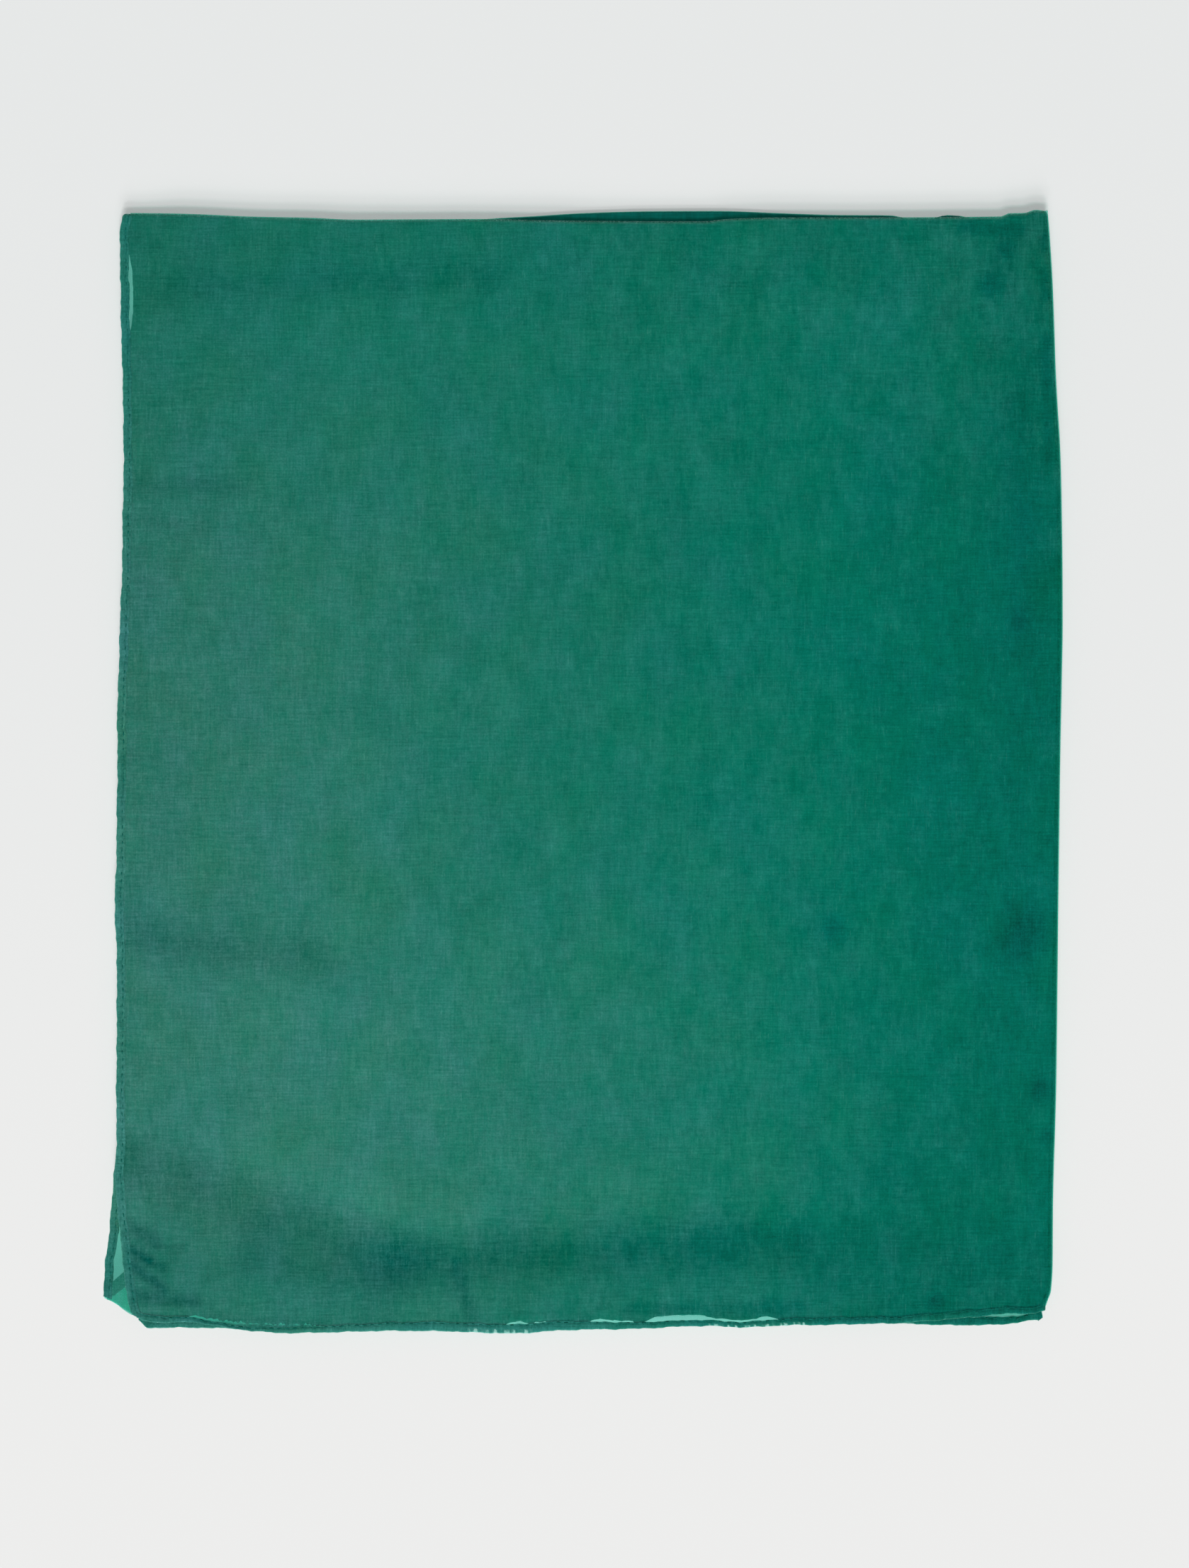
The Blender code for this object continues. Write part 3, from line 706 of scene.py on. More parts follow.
def top_sheet(material):
    """The top ply, from under its hems to both folds, and on down round them."""
    columns = turned(stations(TOP_ACROSS), RIGHT_TURN)
    rows = turned(stations(TOP_UP), TOP_TURN)
    columns[0, 1] = -(HEM_WIDTH - SHEET_UNDER_HEM)
    columns = np.delete(columns, [1, 2], axis=0)
    rows = np.delete(rows, [1], axis=0)
    count_x, count_y = len(columns), len(rows)
    grid_columns = np.tile(columns, (count_y, 1))
    grid_rows = np.repeat(rows, count_x, axis=0)
    x_here = between(-HALF_WIDTH, HALF_WIDTH, grid_columns[:, 0])
    first_row = np.repeat(np.arange(count_y) == 0, count_x)
    grid_rows[:, 1] = np.where(first_row, -(BOTTOM_HEM_WIDTH(x_here) - SHEET_UNDER_HEM), grid_rows[:, 1])
    points = upper_points(grid_columns, grid_rows)
    faces = rows_of_faces(count_y, count_x)

    number = np.arange(count_x * count_y).reshape(count_y, count_x)
    border = list(number[:, -1]) + list(number[-1, -2::-1])
    edge = points[border]
    on_right = np.arange(len(border)) < count_y
    corner = points[number[-1, -1]]
    from_corner = np.hypot(edge[:, 0] - corner[0], edge[:, 1] - corner[1])
    blend = fading(from_corner, CORNER_BLEND)
    rims = np.where(on_right, between(RIGHT_RIM_HEIGHT, TOP_RIM_HEIGHT, blend), TOP_RIM_HEIGHT)
    inwards = 1.0 - blend
    way = np.stack([inwards * on_right, inwards * ~on_right], axis=-1)
    out = np.where(on_right, RIGHT_TURN[0], TOP_TURN[0])
    under = under_the_fold(edge, out, way, rims)
    high = border
    for row in under:
        low = range(len(points), len(points) + len(row))
        for step in range(len(row) - 1):
            faces.append((low[step], low[step + 1], high[step + 1], high[step]))
        points = np.concatenate([points, row])
        high = low
    return add_mesh("voile_top", points, faces, material, crease_shade(points) + painted_fold_highlight(points))


def hem_section(width, seam):
    """Once round a rolled hem, from its inner edge over the top: distances from its outer edge, and rises."""
    puff = (width - seam) / SIDE_SEAM_INSET
    return (
        (0.97 * width, -0.04),
        (between(seam, width, 0.78), 0.03 * puff),
        (between(seam, width, 0.45), 0.09 * puff),
        (seam + 0.18, 0.09 * puff),
        (seam, 0.03),
        (seam - 0.22, 0.12),
        (0.58 * seam, 0.22),
        (0.35 * seam, 0.24),
        (0.15 * seam, 0.19),
        (0.04 * seam, 0.07),
        (0.0, -0.10),
        (0.05 * seam, -0.27),
        (0.20 * seam, -0.36),
        (0.50 * width, -0.38),
        (0.92 * width, -0.34),
    )


SECTION_POINTS = 15
SEAM_POINT = 4
BORDER_POINTS = (7, 8, 9, 10)
RIM_POINTS = (9, 10, 11)


def no_specks(distance):
    return np.zeros(len(distance))


def hem_tube(name, material, distance, point_at, lines, shade_over, seed, specks_at=no_specks):
    """A closed rolled hem. point_at gives x, y, z for a station, a distance from the outer edge and a rise.

    lines are its width, the distance of its seam from the inner edge, and how dark the painted shade in its
    seam is."""
    width_at, seam_inset, darkness_at = lines
    bulge = waves(seed, *HEM_BULGE_WAVES)(distance)
    width = width_at(distance) + waves(seed + 1, *HEM_WIDTH_WAVES)(distance)
    stitch = 0.5 + 0.5 * np.cos(2.0 * math.pi * distance / STITCH_PITCH)
    darkness = darkness_at(distance) * between(GROOVE_BETWEEN_STITCHES, 1.0, stitch)
    specks = specks_at(distance)
    sections = np.array([hem_section(w, w - seam_inset) for w in width])
    rings = []
    shades = []
    for step in range(SECTION_POINTS):
        inside, rise = sections[:, step, 0], sections[:, step, 1]
        if step == SEAM_POINT:
            rise = rise - STITCH_PULL * stitch
        elif step < BORDER_POINTS[-1]:
            rise = rise + bulge + STITCH_PUFF * (1.0 - stitch)
        rings.append(point_at(distance, inside, rise))
        # Painted shade in the seam's groove
        shade = -darkness * math.exp(-(((step - SEAM_POINT) / GROOVE_WIDTH) ** 2))
        if step in BORDER_POINTS:
            shade = shade + specks
        # A painted highlight along the outer rim of the hem
        if step in RIM_POINTS:
            shade = shade + HEM_EDGE_GLOW
        shades.append(shade)
    points = np.stack(rings, axis=1).reshape(-1, 3)
    shade = np.stack(shades, axis=1).reshape(-1) + shade_over(points)
    faces = rows_of_faces(len(distance), SECTION_POINTS, ring=True)
    last = len(points) - SECTION_POINTS
    faces.append(tuple(range(SECTION_POINTS)))
    faces.append(tuple(reversed(range(last, last + SECTION_POINTS))))
    thing = add_mesh(name, points, faces, material, shade)
    turn_outwards(thing)
    return thing


def turn_outwards(thing):
    """Makes the faces of a closed mesh look outwards."""
    mesh = bmesh.new()
    mesh.from_mesh(thing.data)
    bmesh.ops.recalc_face_normals(mesh, faces=mesh.faces)
    mesh.to_mesh(thing.data)
    mesh.free()


def along_fold(lengths, end, turn):
    """How a hem goes round a fold past the end of its length: how far in, how far down and at what angle."""
    out, down = turn
    angle = np.clip((lengths - end) / (0.5 * (out + down)), 0.0, UNDER_TURN)
    return out * (1.0 - np.sin(angle)), down * (1.0 - np.cos(angle)), angle


def top_hems(material):
    """The side hem and the end hem of the top ply."""
    left_from, left_to = LEFT_HEM_SPAN
    bottom_from, bottom_to = BOTTOM_HEM_SPAN

    def left_point(distance, inside, rise):
        pulled, drop, angle = along_fold(distance, left_to, TOP_TURN)
        y = np.minimum(distance, left_to)
        top = UPPER_LINES["top"](UPPER_LINES["left"](y))
        over_fold = top - pulled + rise * np.sin(angle)
        y = np.where(distance > left_to, over_fold, np.minimum(y, top - TOP_TURN[0]))
        x = UPPER_LINES["left"](y) + inside
        y = np.maximum(y, UPPER_LINES["bottom"](x) + LEFT_HEM_ABOVE_BOTTOM)
        z = upper_height(x, y) + rise * np.cos(angle) - drop
        return np.stack([x, y, z], axis=-1)

    left = hem_tube(
        "hem_top_left",
        material,
        np.arange(left_from, left_to + sum(TOP_TURN), HEM_STEP),
        left_point,
        (always(HEM_WIDTH), SIDE_SEAM_INSET, LEFT_HEM_DARK),
        upper_hem_shade,
        31,
    )

    def bottom_point(distance, inside, rise):
        pulled, drop, angle = along_fold(distance, bottom_to - RIGHT_TURN[0], RIGHT_TURN)
        turned_x = UPPER_LINES["right"](BOTTOM_HEM_FOLD_Y) - pulled + rise * np.sin(angle)
        x = np.where(angle > 0.0, turned_x, np.minimum(distance, turned_x))
        y = UPPER_LINES["bottom"](x) + inside
        z = upper_height(x, y) + rise * np.cos(angle) - drop
        return np.stack([x, y, z], axis=-1)

    bottom = hem_tube(
        "hem_top_bottom",
        material,
        np.arange(bottom_from, bottom_to + sum(RIGHT_TURN), HEM_STEP),
        bottom_point,
        (BOTTOM_HEM_WIDTH, END_SEAM_INSET, BOTTOM_HEM_DARKNESS),
        upper_hem_shade,
        32,
        border_specks,
    )
    return left, bottom


def stitches(name, material, path, seed):
    """Short threads along a path: rows of x, y, z, direction (x, y) of each stitch's middle."""
    random = np.random.default_rng(seed)
    around, rings = STITCH_SIDES, len(STITCH_PROFILE)
    points, faces = [], []
    for x, y, z, way_x, way_y in path:
        half = 0.5 * STITCH_LENGTH * random.uniform(*STITCH_LENGTHS)
        aside = random.uniform(-STITCH_ASIDE, STITCH_ASIDE)
        deep = random.uniform(*STITCH_DEPTHS)
        skew = random.uniform(-STITCH_SKEW, STITCH_SKEW)
        way_x, way_y = way_x - skew * way_y, way_y + skew * way_x
        first = len(points)
        for share, full in STITCH_PROFILE:
            for number in range(around):
                angle = 2.0 * math.pi * number / around
                side = STITCH_HALF_WIDTH * full * math.cos(angle) + aside
                lift = STITCH_HALF_HEIGHT * (full * math.sin(angle) - 0.5 * share * share) + deep
                along = half * share
                points.append((x + way_x * along - way_y * side, y + way_y * along + way_x * side, z + lift))
        faces += rows_of_faces(rings, around, first, ring=True)
        faces.append(tuple(range(first + around - 1, first - 1, -1)))
        faces.append(tuple(range(first + (rings - 1) * around, first + rings * around)))
    thing = add_mesh(name, points, faces, material)
    turn_outwards(thing)
    return thing


def stitch_path(at, low, high):
    """Middles and directions of the stitches along at(distance) -> x, y, z."""
    distance = np.arange(low, high, STITCH_PITCH)
    here, onward = at(distance), at(distance + 0.5)
    way = onward[:, :2] - here[:, :2]
    way /= np.linalg.norm(way, axis=1)[:, None]
    return np.concatenate([here, way], axis=1)


def both_seams(lines, bottom_width, height_at, left_span, bottom_span):
    """The path of the stitches along the left seam and then along the bottom one."""

    def left(distance):
        x = lines["left"](distance) + HEM_WIDTH - SIDE_SEAM_INSET
        return np.stack([x, distance, height_at(x, distance)], axis=-1)

    def bottom(distance):
        y = lines["bottom"](distance) + bottom_width(distance) - END_SEAM_INSET
        return np.stack([distance, y, height_at(distance, y)], axis=-1)

    return np.concatenate([stitch_path(left, *left_span), stitch_path(bottom, *bottom_span)])


def top_stitches(material):
    def height_at(x, y):
        return upper_height(x, y) + STITCH_LIFT

    path = both_seams(UPPER_LINES, BOTTOM_HEM_WIDTH, height_at, LEFT_STITCHES, BOTTOM_STITCHES)
    return stitches("stitches_top", material, path, 41)


def lower_stitches(material):
    def height_at(x, _):
        return np.full(len(x), LOWER_HEM_BASE + LOWER_STITCH_LIFT)

    spans = LOWER_LEFT_STITCHES, LOWER_BOTTOM_STITCHES
    path = both_seams(LOWER_LINES, LOWER_HEM_WIDTH, height_at, *spans)
    return stitches("stitches_lower", material, path, 42)


def lower_sheet(material):
    """The lowest ply, with its fold along the top."""
    across = stations(LOWER_ACROSS)
    up = stations(LOWER_UP)
    count_x = len(across)
    rows = []
    inset_x = np.zeros(count_x)
    inset_x[0] = -LOWER_SHEET_UNDER_HEM
    under_hem = between(-HALF_WIDTH, HALF_WIDTH, across) > TURNBACK_FOLD[-1][0]
    (first_x, first_y), (second_x, second_y) = RIPPLE_LENGTHS
    for share in up[:-1]:
        pulled = np.where(under_hem & (share == 0.0), -LOWER_SHEET_UNDER_HEM, 0.0)
        x, y = place(LOWER_LINES, across, inset_x, np.full(count_x, share), pulled)
        ripple = RIPPLE * np.sin(x / first_x + y / first_y) * np.sin(x / second_x + y / second_y)
        rows.append(np.stack([x, y, LOWER_HEIGHT + ripple], axis=-1))
    angles = np.linspace(0.0, math.pi, LOWER_FOLD_STEPS + 1)
    turn = LOWER_FOLD_RADIUS * (1.0 - np.stack([np.sin(angles), np.cos(angles)], axis=-1))
    for pulled, rise in (*turn, (LOWER_FOLD_REACH, 2.0 * LOWER_FOLD_RADIUS)):
        x, y = place(LOWER_LINES, across, inset_x, np.ones(count_x), np.full(count_x, pulled))
        rows.append(np.stack([x, y, np.full(count_x, LOWER_FOLD_BASE + rise)], axis=-1))
    points = np.concatenate(rows)
    faces = rows_of_faces(len(rows), count_x)
    shade = flap_shade(points)
    fold = points[len(up[:-1]) * count_x :]
    from_top = LOWER_LINES["top"](fold[:, 0]) - fold[:, 1]
    # Painted shade over the lowest ply's fold, which lies in the shade of the top, and a painted highlight
    # along its rim
    shade[-len(fold) :] += LOWER_FOLD_SHADE + LOWER_FOLD_GLOW * fading(from_top, LOWER_FOLD_GLOW_REACH)
    return add_mesh("voile_lower", points, faces, material, shade)


def lower_hems(material):
    """The two hems of the lowest ply."""

    def left_point(distance, inside, rise):
        x = LOWER_LINES["left"](distance) + inside
        y = distance - LOWER_END_SLANT * inside * fading(distance - LOWER_END, LOWER_END_REACH)
        return np.stack([x, y, LOWER_HEM_BASE + rise], axis=-1)

    def bottom_point(distance, inside, rise):
        y = LOWER_LINES["bottom"](distance) + inside
        x = np.minimum(distance, LOWER_LINES["right"](y) - LOWER_HEM_INSIDE_RIGHT)
        return np.stack([x, y, LOWER_HEM_BASE + rise], axis=-1)

    left = hem_tube(
        "hem_lower_left",
        material,
        np.arange(LOWER_END, LOWER_LEFT_HEM_TOP, LOWER_HEM_STEP),
        left_point,
        (always(HEM_WIDTH), SIDE_SEAM_INSET, always(LOWER_SEAM_DARKNESS)),
        lower_hem_shade,
        51,
    )
    bottom = hem_tube(
        "hem_lower_bottom",
        material,
        np.arange(*LOWER_BOTTOM_HEM_SPAN, LOWER_HEM_STEP),
        bottom_point,
        (LOWER_HEM_WIDTH, END_SEAM_INSET, always(LOWER_SEAM_DARKNESS)),
        lower_hem_shade,
        52,
    )
    return left, bottom


def turnback(name, material, low_line, high_line, shade):
    """Part of the corner that is turned back under the flap, between two lines of points."""
    columns, rows = TURNBACK_POINTS
    along = np.linspace(0.0, 1.0, columns)
    low, high = (
        np.stack([np.interp(along, np.linspace(0.0, 1.0, len(line)), axis) for axis in zip(*line)], axis=-1)
        for line in (low_line, high_line)
    )
    flat = np.concatenate([between(low, high, share) for share in np.linspace(0.0, 1.0, rows)])
    points = np.column_stack([LOWER_SCALE * flat, np.full(len(flat), TURNBACK_HEIGHT)])
    faces = rows_of_faces(rows, columns)
    return add_mesh(name, points, faces, material, np.full(len(points), shade))


def in_patches(x, patches, teeth, blend):
    """The irregular line teeth(x), only in the patches (from x, to x, size)."""
    total = 0.0
    for low, high, size in patches:
        inside = fading(np.abs(x - 0.5 * (low + high)) - 0.5 * (high - low), blend)
        total = total + size * inside * teeth(x)
    return total


def frayed(x):
    """How far the edge of the plies is frayed at x."""
    return in_patches(x, FRAYED, waves(61, *FRAYED_WAVES), FRAYED_BLEND)


def border_specks(x):
    """How pale loose fibres make the border of the bottom hem at x."""
    return np.maximum(in_patches(x, BORDER_SPECKS, waves(63, *SPECK_WAVES), SPECKS_BLEND), 0.0)


def roundness(share):
    """How far out a half round stands at this share of its height."""
    return math.sqrt(max(0.0, 1.0 - (2.0 * share - 1.0) ** 2))


def stack_ring(ring, rings, lines, columns, rows):
    """Points of one ring of the plies between, at these stations."""
    ply = min(ring // RINGS_A_PLY, len(PLY_SETBACKS) - 1)
    phase = (ring - ply * RINGS_A_PLY) / RINGS_A_PLY
    nose = TOP_RING_NOSE if ring == rings else math.sin(math.pi * min(phase, 1.0))
    groove = GROOVE_DEPTH * (1.0 - nose)
    left, bottom = (setback + groove for setback in PLY_SETBACKS[ply])
    inside_fold = STACK_INSIDE_FOLD + GROOVE_SHARE_AT_FOLDS * groove
    share = ring / rings
    packet = (share * 2.0) % 1.0 if share < 1.0 else 1.0
    right = inside_fold + RIGHT_TURN[0] * (1.0 - roundness(share))
    top = inside_fold + TOP_TURN[0] * (1.0 - roundness(packet))
    wander_left = waves(70 + ply, *PLY_LEFT_WAVES)
    wander_bottom = waves(80 + ply, *PLY_BOTTOM_WAVES)
    lines = dict(lines)
    lines["left"] = added(lines["left"], wander_left)
    lines["bottom"] = added(lines["bottom"], lambda at: wander_bottom(at) + frayed(at))
    x, y = place(lines, columns, between(-left, right, columns), rows, between(-bottom, top, rows))
    ceiling = upper_height(x, y) - STACK_BELOW_TOP
    return np.stack([x, y, between(STACK_FLOOR, ceiling, share)], axis=-1)


def plies_between(material):
    """The six plies between, as one closed solid whose sides are layered."""
    across = stations(BETWEEN_ACROSS)
    up = stations(BETWEEN_UP)
    upper = BETWEEN_LINES
    lower = upper | {"top": LOWER_LINES["top"]}
    rings = RINGS_A_PLY * len(PLY_SETBACKS)
    around = [(share, 0.0) for share in across[:-1]]
    around += [(1.0, share) for share in up[:-1]]
    around += [(share, 1.0) for share in across[:0:-1]]
    around += [(0.0, share) for share in up[:0:-1]]
    around = np.array(around)
    loops = []
    for ring in range(rings + 1):
        lines = upper if ring >= rings // 2 else lower
        loops.append(stack_ring(ring, rings, lines, around[:, 0], around[:, 1]))
    points = np.concatenate(loops)
    size = len(around)
    faces = rows_of_faces(rings + 1, size, ring=True)

    for ring, lines in ((0, lower), (rings, upper)):
        inner_x, inner_y = np.meshgrid(across[1:-1], up[1:-1])
        inner = stack_ring(ring, rings, lines, inner_x.ravel(), inner_y.ravel())
        number = {key: ring * size + place_in for place_in, key in enumerate(map(tuple, around))}
        start = len(points)
        keys = list(zip(inner_x.ravel(), inner_y.ravel()))
        number.update({key: start + place_in for place_in, key in enumerate(keys)})
        points = np.concatenate([points, inner])
        for low_y, high_y in zip(up, up[1:]):
            for low_x, high_x in zip(across, across[1:]):
                corners = [(low_x, low_y), (high_x, low_y), (high_x, high_y), (low_x, high_y)]
                face = [number[corner] for corner in corners]
                faces.append(tuple(face if ring else reversed(face)))
    shade = STACK_CREASE_SHARE * crease_shade(points) + painted_fold_highlight(points)
    # Painted shade on the plies between where they lie behind the top fold
    inside_top = UPPER_LINES["top"](points[:, 0]) - points[:, 1]
    behind = fading(inside_top + 0.5 * BEHIND_TOP_BLEND, BEHIND_TOP_BLEND)
    shade = between(shade, BEHIND_TOP_SHADE, behind)
    return add_mesh("plies_between", points, faces, material, shade)


def add_node(tree, kind, inputs, **settings):
    """A node with its settings, and its inputs set to a value or linked to a socket."""
    node = tree.nodes.new(kind)
    for name, value in settings.items():
        setattr(node, name, value)
    for key, value in inputs.items():
        if isinstance(value, bpy.types.NodeSocket):
            tree.links.new(value, node.inputs[key])
        else:
            node.inputs[key].default_value = value
    return node


def calculate(tree, operation, first, second, third=None):
    inputs = {0: first, 1: second}
    if third is not None:
        inputs[2] = third
    return add_node(tree, "ShaderNodeMath", inputs, operation=operation).outputs[0]


def ranged(tree, value, from_low, from_high, to_low, to_high):
    """The value moved smoothly from one range to the other."""
    inputs = {"Value": value, "From Min": from_low, "From Max": from_high}
    inputs |= {"To Min": to_low, "To Max": to_high}
    node = add_node(tree, "ShaderNodeMapRange", inputs, interpolation_type="SMOOTHSTEP")
    return node.outputs["Result"]


def noise(tree, place_at, kind, shift):
    """One of the patterns of the cloth, whose patches are about 1/scale millimetres long each way."""
    scale, detail, roughness, kind_shift = PATTERNS[kind]
    location = tuple((shift + kind_shift) * share for share in SHIFT_WAY)
    mapping = add_node(tree, "ShaderNodeMapping", {"Vector": place_at, "Location": location, "Scale": scale})
    inputs = {"Vector": mapping.outputs["Vector"], "Scale": 1.0, "Detail": detail, "Roughness": roughness}
    return add_node(tree, "ShaderNodeTexNoise", inputs).outputs["Fac"]


def mixed(tree, share, first, second):
    node = add_node(tree, "ShaderNodeMix", {"Factor": share, 6: first, 7: second}, data_type="RGBA")
    return node.outputs[2]


def scaled(tree, colour, value):
    node = add_node(tree, "ShaderNodeVectorMath", {0: colour, "Scale": value}, operation="SCALE")
    return node.outputs["Vector"]


def wandering(tree, pattern, weight, base):
    """The base, moved up and down by a noise that lies round a half."""
    return calculate(tree, "MULTIPLY_ADD", calculate(tree, "SUBTRACT", pattern, 0.5), weight, base)


def summed(tree, patterns):
    """Noises that each lie round a half, added up with their weights so that they lie round 0."""
    total = 0.0
    for pattern, weight in patterns:
        total = wandering(tree, pattern, weight, total)
    return total


def sheen_and_tone_at(tree, x, y, shade, mottle):
    """How much painted sheen greys the dye: most at the left, least at the right, and even along the top."""
    slope = calculate(tree, "MULTIPLY_ADD", y, SHEEN_SLANT, x)
    sheen_and_tone = calculate(tree, "POWER", ranged(tree, slope, SHEEN_FROM, SHEEN_TO, 1.0, 0.0), SHEEN_POWER)
    sheen_and_tone = calculate(tree, "MULTIPLY_ADD", sheen_and_tone, SHEEN_MOST, SHEEN_LEAST)
    near_top = ranged(tree, y, SHEEN_TOP_FROM, SHEEN_TOP_TO, 0.0, SHEEN_TOP_SHARE)
    sheen_and_tone = add_node(
        tree, "ShaderNodeMix", {"Factor": near_top, 2: sheen_and_tone, 3: SHEEN_AT_TOP}, data_type="FLOAT"
    ).outputs[0]
    kept = ranged(tree, y, SHEEN_BOTTOM_FROM, SHEEN_BOTTOM_TO, 1.0, SHEEN_KEPT_AT_BOTTOM)
    sheen_and_tone = calculate(tree, "MULTIPLY", sheen_and_tone, kept)
    deep_x, deep_y, deep_reach, deep_less = LEAST_SHEEN_MIDDLE
    aside = calculate(tree, "POWER", calculate(tree, "SUBTRACT", x, deep_x), 2.0)
    above = calculate(tree, "POWER", calculate(tree, "SUBTRACT", y, deep_y), 2.0)
    away = calculate(tree, "SQRT", calculate(tree, "ADD", aside, above), 0.0)
    sheen_and_tone = calculate(tree, "SUBTRACT", sheen_and_tone, ranged(tree, away, 0.0, deep_reach, deep_less, 0.0))
    sheen_and_tone = calculate(tree, "MULTIPLY_ADD", calculate(tree, "ADD", sheen_and_tone, SHEEN_MOTTLE_BASE), mottle, sheen_and_tone)
    return calculate(tree, "MULTIPLY_ADD", shade, SHEEN_IN_CREASES, sheen_and_tone)


def brightness_at(tree, x, y, shade, mottle):
    """How bright the cloth is: its slow changes, its creases and its mottles and threads."""
    value = 1.0
    to_right = calculate(tree, "MULTIPLY_ADD", y, DARKER_RIGHT_SLANT, x)
    slow = ((y, PALER_BELOW), (y, DARKER_BOTTOM), (y, DARKER_TOP), (to_right, DARKER_RIGHT), (x, DARKER_LEFT))
    for axis, (start, end, much) in slow:
        value = calculate(tree, "ADD", ranged(tree, axis, start, end, 0.0, much), value)
    value = calculate(tree, "ADD", mottle, value)
    return calculate(tree, "MULTIPLY_ADD", shade, DARKNESS_IN_CREASES, value)


def new_material(name, surface):
    """A material with these constants on its shader, and where on its object a point is."""
    material = bpy.data.materials.new(name)
    material.use_nodes = True
    tree = material.node_tree
    shader = tree.nodes["Principled BSDF"]
    for key, value in surface.items():
        shader.inputs[key].default_value = value
    return material, tree, shader, add_node(tree, "ShaderNodeTexCoord", {}).outputs["Object"]


def add_bump(tree, shader, height, bump):
    high, strength = bump
    inputs = {"Strength": strength, "Distance": high * MM, "Height": height}
    tree.links.new(add_node(tree, "ShaderNodeBump", inputs).outputs["Normal"], shader.inputs["Normal"])


def voile(name, deep, sheened, cover, contrast=1.0, shift=0.0, fine=True):
    """Sheer plain-woven cotton: mottled, with fine threads both ways and a few thicker ones."""
    material, tree, shader, place_at = new_material(name, CLOTH_SURFACE)
    in_mm = scaled(tree, place_at, 1.0 / MM)
    axes = add_node(tree, "ShaderNodeSeparateXYZ", {0: in_mm})
    x, y = axes.outputs[0], axes.outputs[1]
    # The painted shade and highlights of creases, folds, rims, seams, flap and turned-back corner, with the
    # pale specks of loose fibre
    named = {"attribute_name": "shade", "attribute_type": "GEOMETRY"}
    shade = add_node(tree, "ShaderNodeAttribute", {}, **named).outputs["Fac"]

    kinds = [kind for kind in THREADS if fine or kind != "grain"]
    threads = [(noise(tree, in_mm, kind, shift), THREADS[kind]) for kind in kinds]
    mottles = [(noise(tree, in_mm, kind, shift), weights) for kind, weights in MOTTLES.items()]
    lively = ranged(tree, x, *LIVELIER)
    moved = []
    for channel in range(2):
        woven = summed(tree, [(pattern, weights[channel]) for pattern, weights in threads])
        mottled = summed(tree, [(pattern, weights[channel] * contrast) for pattern, weights in mottles])
        moved.append(calculate(tree, "MULTIPLY_ADD", mottled, lively, woven))
    value = brightness_at(tree, x, y, shade, moved[0])
    sheen_and_tone = sheen_and_tone_at(tree, x, y, shade, moved[1])
    if fine:
        pale_slub = ranged(tree, noise(tree, in_mm, "pale_slub", shift), *SLUB_RANGE, 0.0, 1.0)
        dark_slub = ranged(tree, noise(tree, in_mm, "dark_slub", shift), *SLUB_RANGE, 0.0, 1.0)
        sheen_and_tone = calculate(tree, "MULTIPLY_ADD", pale_slub, PALE_SLUB, sheen_and_tone)
        value = calculate(tree, "MULTIPLY_ADD", pale_slub, PALE_SLUB, value)
        value = calculate(tree, "MULTIPLY_ADD", dark_slub, DARK_SLUB, value)
    # The dye, mixed towards its colour under painted sheen
    colour = mixed(tree, sheen_and_tone, (*deep, 1.0), (*sheened, 1.0))
    colour = scaled(tree, colour, calculate(tree, "MAXIMUM", value, DARKEST))
    fleck = 0.0
    weave = threads[-1][0] if fine else threads[0][0]
    if fine:
        toned = wandering(tree, noise(tree, in_mm, "tone", shift), BLUE_IN_TONES, 1.0)
        blue = wandering(tree, mottles[0][0], BLUE_IN_BLOTCHES, toned)
        tint = add_node(tree, "ShaderNodeCombineXYZ", {0: 1.0, 1: 1.0, 2: blue}).outputs[0]
        tinted = add_node(tree, "ShaderNodeVectorMath", {0: colour, 1: tint}, operation="MULTIPLY")
        # Pale flecks: loose fibre at the specks, painted highlight at the rims, folds and turned-back corner
        fleck = ranged(tree, wandering(tree, weave, GRAIN_IN_FLECKS, shade), *FLECK_SHADES, 0.0, 1.0)
        colour = mixed(tree, fleck, tinted.outputs["Vector"], (*FLECK_COLOUR, 1.0))
    tree.links.new(colour, shader.inputs["Base Color"])
    add_bump(tree, shader, weave, CLOTH_BUMP)

    if cover < 1.0:
        # Painted shade dims the light let through as well; painted highlights leave it as it is
        dimmed = calculate(tree, "MINIMUM", calculate(tree, "ADD", shade, 1.0), 1.0)
        through = add_node(tree, "ShaderNodeBsdfTransparent", {"Color": scaled(tree, LIGHT_THROUGH, dimmed)})
        woven = summed(tree, [(pattern, THREAD_COVER) for pattern, _ in threads])
        density = calculate(tree, "ADD", woven, cover)
        least = calculate(tree, "MINIMUM", shade, SHADE_COVER_TO)
        density = calculate(tree, "MULTIPLY_ADD", least, SHADE_COVER, density)
        density = calculate(tree, "MULTIPLY_ADD", fleck, FLECK_COVER, density)
        inputs = {0: density, 1: through.outputs[0], 2: shader.outputs[0]}
        sheer = add_node(tree, "ShaderNodeMixShader", inputs).outputs[0]
        tree.links.new(sheer, tree.nodes["Material Output"].inputs["Surface"])
    return material


def thread_material():
    material, tree, shader, place_at = new_material("sewing_thread", THREAD_SURFACE)
    inputs = {"Vector": place_at, "Scale": THREAD_TWIST, "Detail": 2.0}
    twist = add_node(tree, "ShaderNodeTexNoise", inputs).outputs["Fac"]
    value = ranged(tree, twist, *THREAD_TWIST_RANGE)
    tree.links.new(scaled(tree, THREAD_COLOUR, value), shader.inputs["Base Color"])
    add_bump(tree, shader, twist, THREAD_BUMP)
    return material


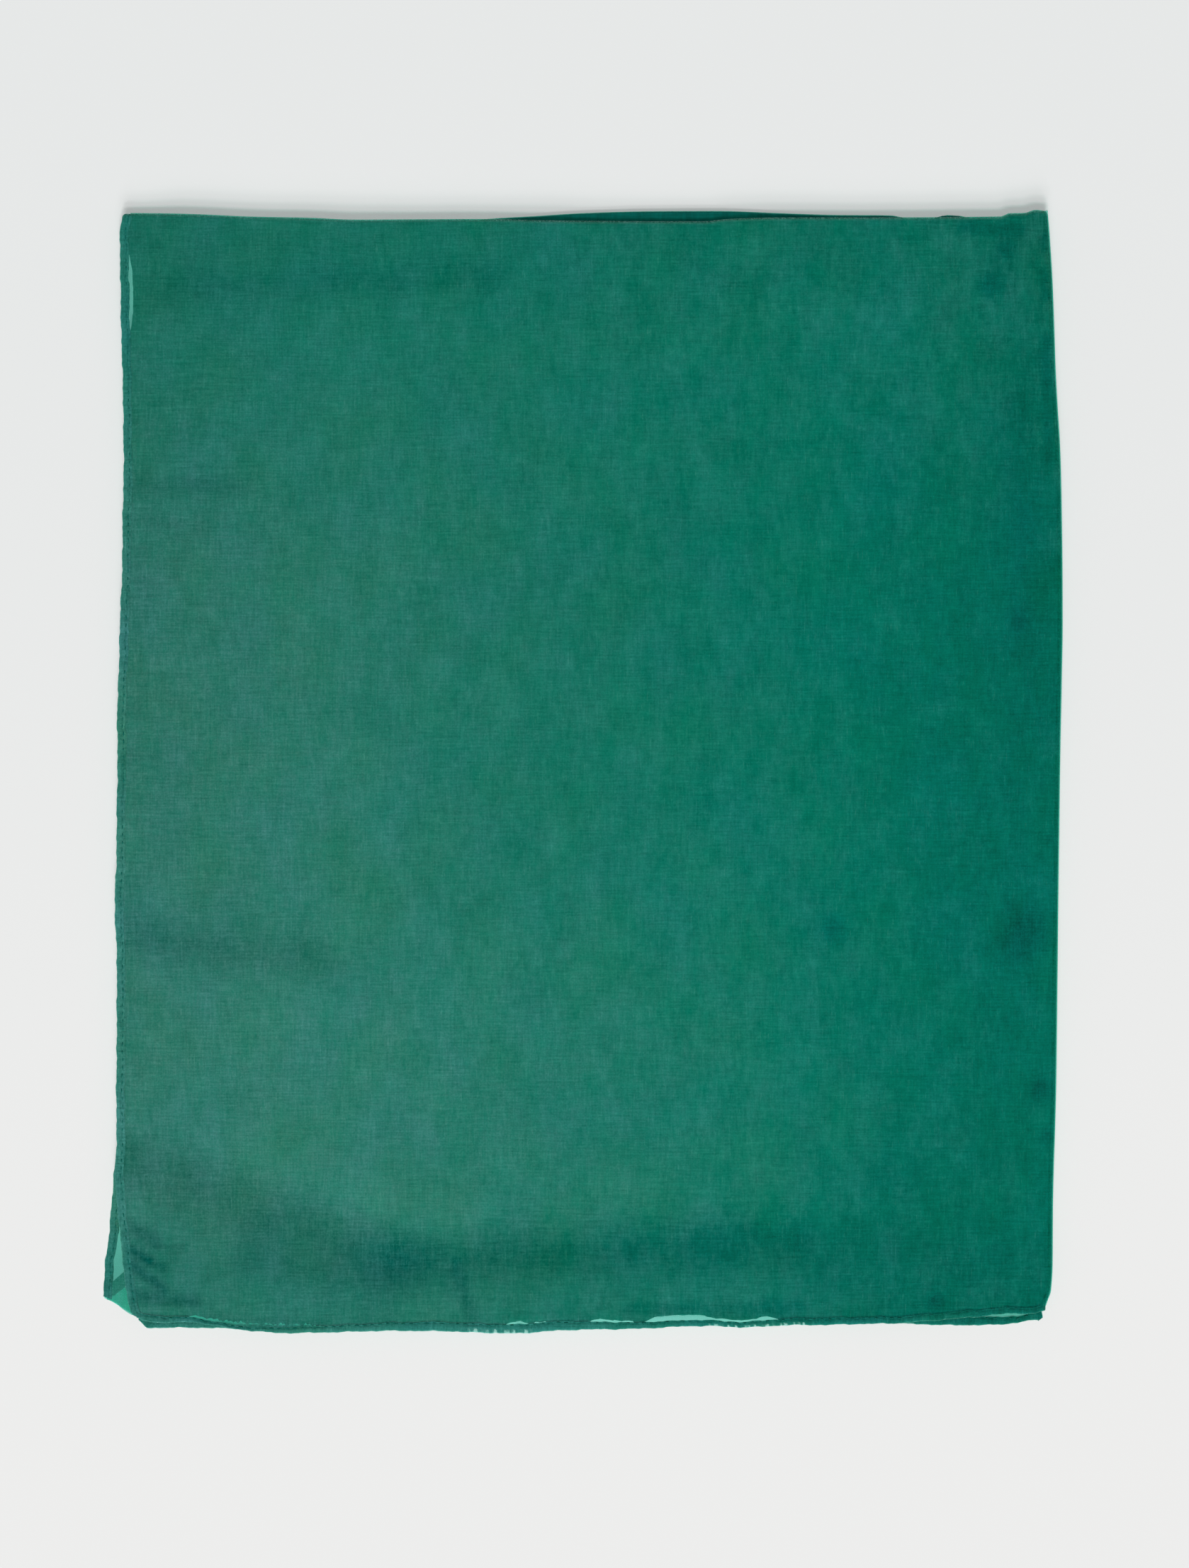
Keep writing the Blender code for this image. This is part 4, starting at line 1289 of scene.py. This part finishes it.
def floor():
    """The plain pale surface, with a little glow so that shadows stay soft, and painted light that makes it
    brighter towards the bottom.
    """
    material, tree, shader, place_at = new_material("pale_floor", FLOOR_SURFACE)
    y = add_node(tree, "ShaderNodeSeparateXYZ", {0: place_at}).outputs[1]
    upwards = ranged(tree, y, FLOOR_FROM_Y * MM, FLOOR_TO_Y * MM, 0.0, 1.0)
    tint = mixed(tree, upwards, (*FLOOR_TINTS[0], 1.0), (*FLOOR_TINTS[1], 1.0))
    tree.links.new(scaled(tree, tint, FLOOR_ALBEDO), shader.inputs["Base Color"])
    tree.links.new(tint, shader.inputs["Emission Color"])
    half = 0.5 * FLOOR_SIZE
    corners = [(x * half, y * half, -FLOOR_DROP) for x, y in ((-1, -1), (1, -1), (1, 1), (-1, 1))]
    add_mesh("floor", corners, [(0, 1, 2, 3)], material)


def lights():
    world = bpy.data.worlds.new("soft_light")
    world.use_nodes = True
    background = world.node_tree.nodes["Background"]
    background.inputs["Color"].default_value = SKY_COLOUR
    background.inputs["Strength"].default_value = SKY_LIGHT
    bpy.context.scene.world = world
    for number, (elevation, aside, share) in enumerate(LOW_LIGHTS):
        angle = math.radians(elevation)
        light = bpy.data.lights.new(f"low_light_{number}", "SUN")
        light.energy = LOW_LIGHT * share * math.pi / math.sin(angle)
        light.angle = LOW_LIGHT_SPREAD
        lamp = bpy.data.objects.new(light.name, light)
        lamp.rotation_euler = (math.pi / 2.0 - angle, 0.0, math.radians(aside))
        bpy.context.scene.collection.objects.link(lamp)


def camera():
    """Straight above the photograph's middle, and as far off as makes its frame."""
    data = bpy.data.cameras.new("camera")
    data.sensor_width = SENSOR
    data.lens = SENSOR * CAMERA_HEIGHT / (PHOTO_HEIGHT * MM_PER_PIXEL)
    data.clip_end = 100.0
    thing = bpy.data.objects.new("camera", data)
    middle_x = (0.5 * PHOTO_WIDTH - ORIGIN_PIXEL[0]) * MM_PER_PIXEL
    middle_y = (ORIGIN_PIXEL[1] - 0.5 * PHOTO_HEIGHT) * MM_PER_PIXEL
    thing.location = (middle_x * MM, middle_y * MM, (CAMERA_HEIGHT + MIDDLE_HEIGHT) * MM)
    bpy.context.scene.collection.objects.link(thing)
    bpy.context.scene.camera = thing


def main():
    bpy.context.scene.view_settings.view_transform = "Standard"

    ply = voile("voile", DEEP_COLOUR, SHEENED_COLOUR, PLY_COVER)
    hem = voile("voile_hem", HEM_DEEP_COLOUR, HEM_SHEENED_COLOUR, HEM_COVER, 1.0, 400.0)
    stack = voile("voile_stack", STACK_DEEP_COLOUR, STACK_SHEENED_COLOUR, 1.0, 1.3, 700.0, False)
    thread = thread_material()

    top = top_sheet(ply)
    top_left, top_bottom = top_hems(hem)
    middle = plies_between(stack)
    lower = lower_sheet(ply)
    lower_left, lower_bottom = lower_hems(hem)
    corner = turnback("corner_turned_back", ply, TURNBACK_FOLD, TURNBACK_SEAM, TURNBACK_SHADE)
    corner_hem = turnback("hem_turned_back", hem, TURNBACK_SEAM, TURNBACK_EDGE, TURNBACK_HEM_SHADE)
    top_thread = top_stitches(thread)
    lower_thread = lower_stitches(thread)

    for piece, slot, node in (
        (top, "voile", "top_ply"),
        (top_left, "voile_hem", "top_hem_left"),
        (top_bottom, "voile_hem", "top_hem_bottom"),
        (middle, "voile_stack", "hidden_plies"),
        (lower, "voile", "lower_ply"),
        (lower_left, "voile_hem", "lower_hem_left"),
        (lower_bottom, "voile_hem", "lower_hem_bottom"),
        (corner, "voile", None),
        (corner_hem, "voile_hem", None),
        (top_thread, "voile_hem", None),
        (lower_thread, "voile_hem", None),
    ):
        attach(piece, "root")
        if node:
            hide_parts(node)

    floor()
    lights()
    camera()


main()
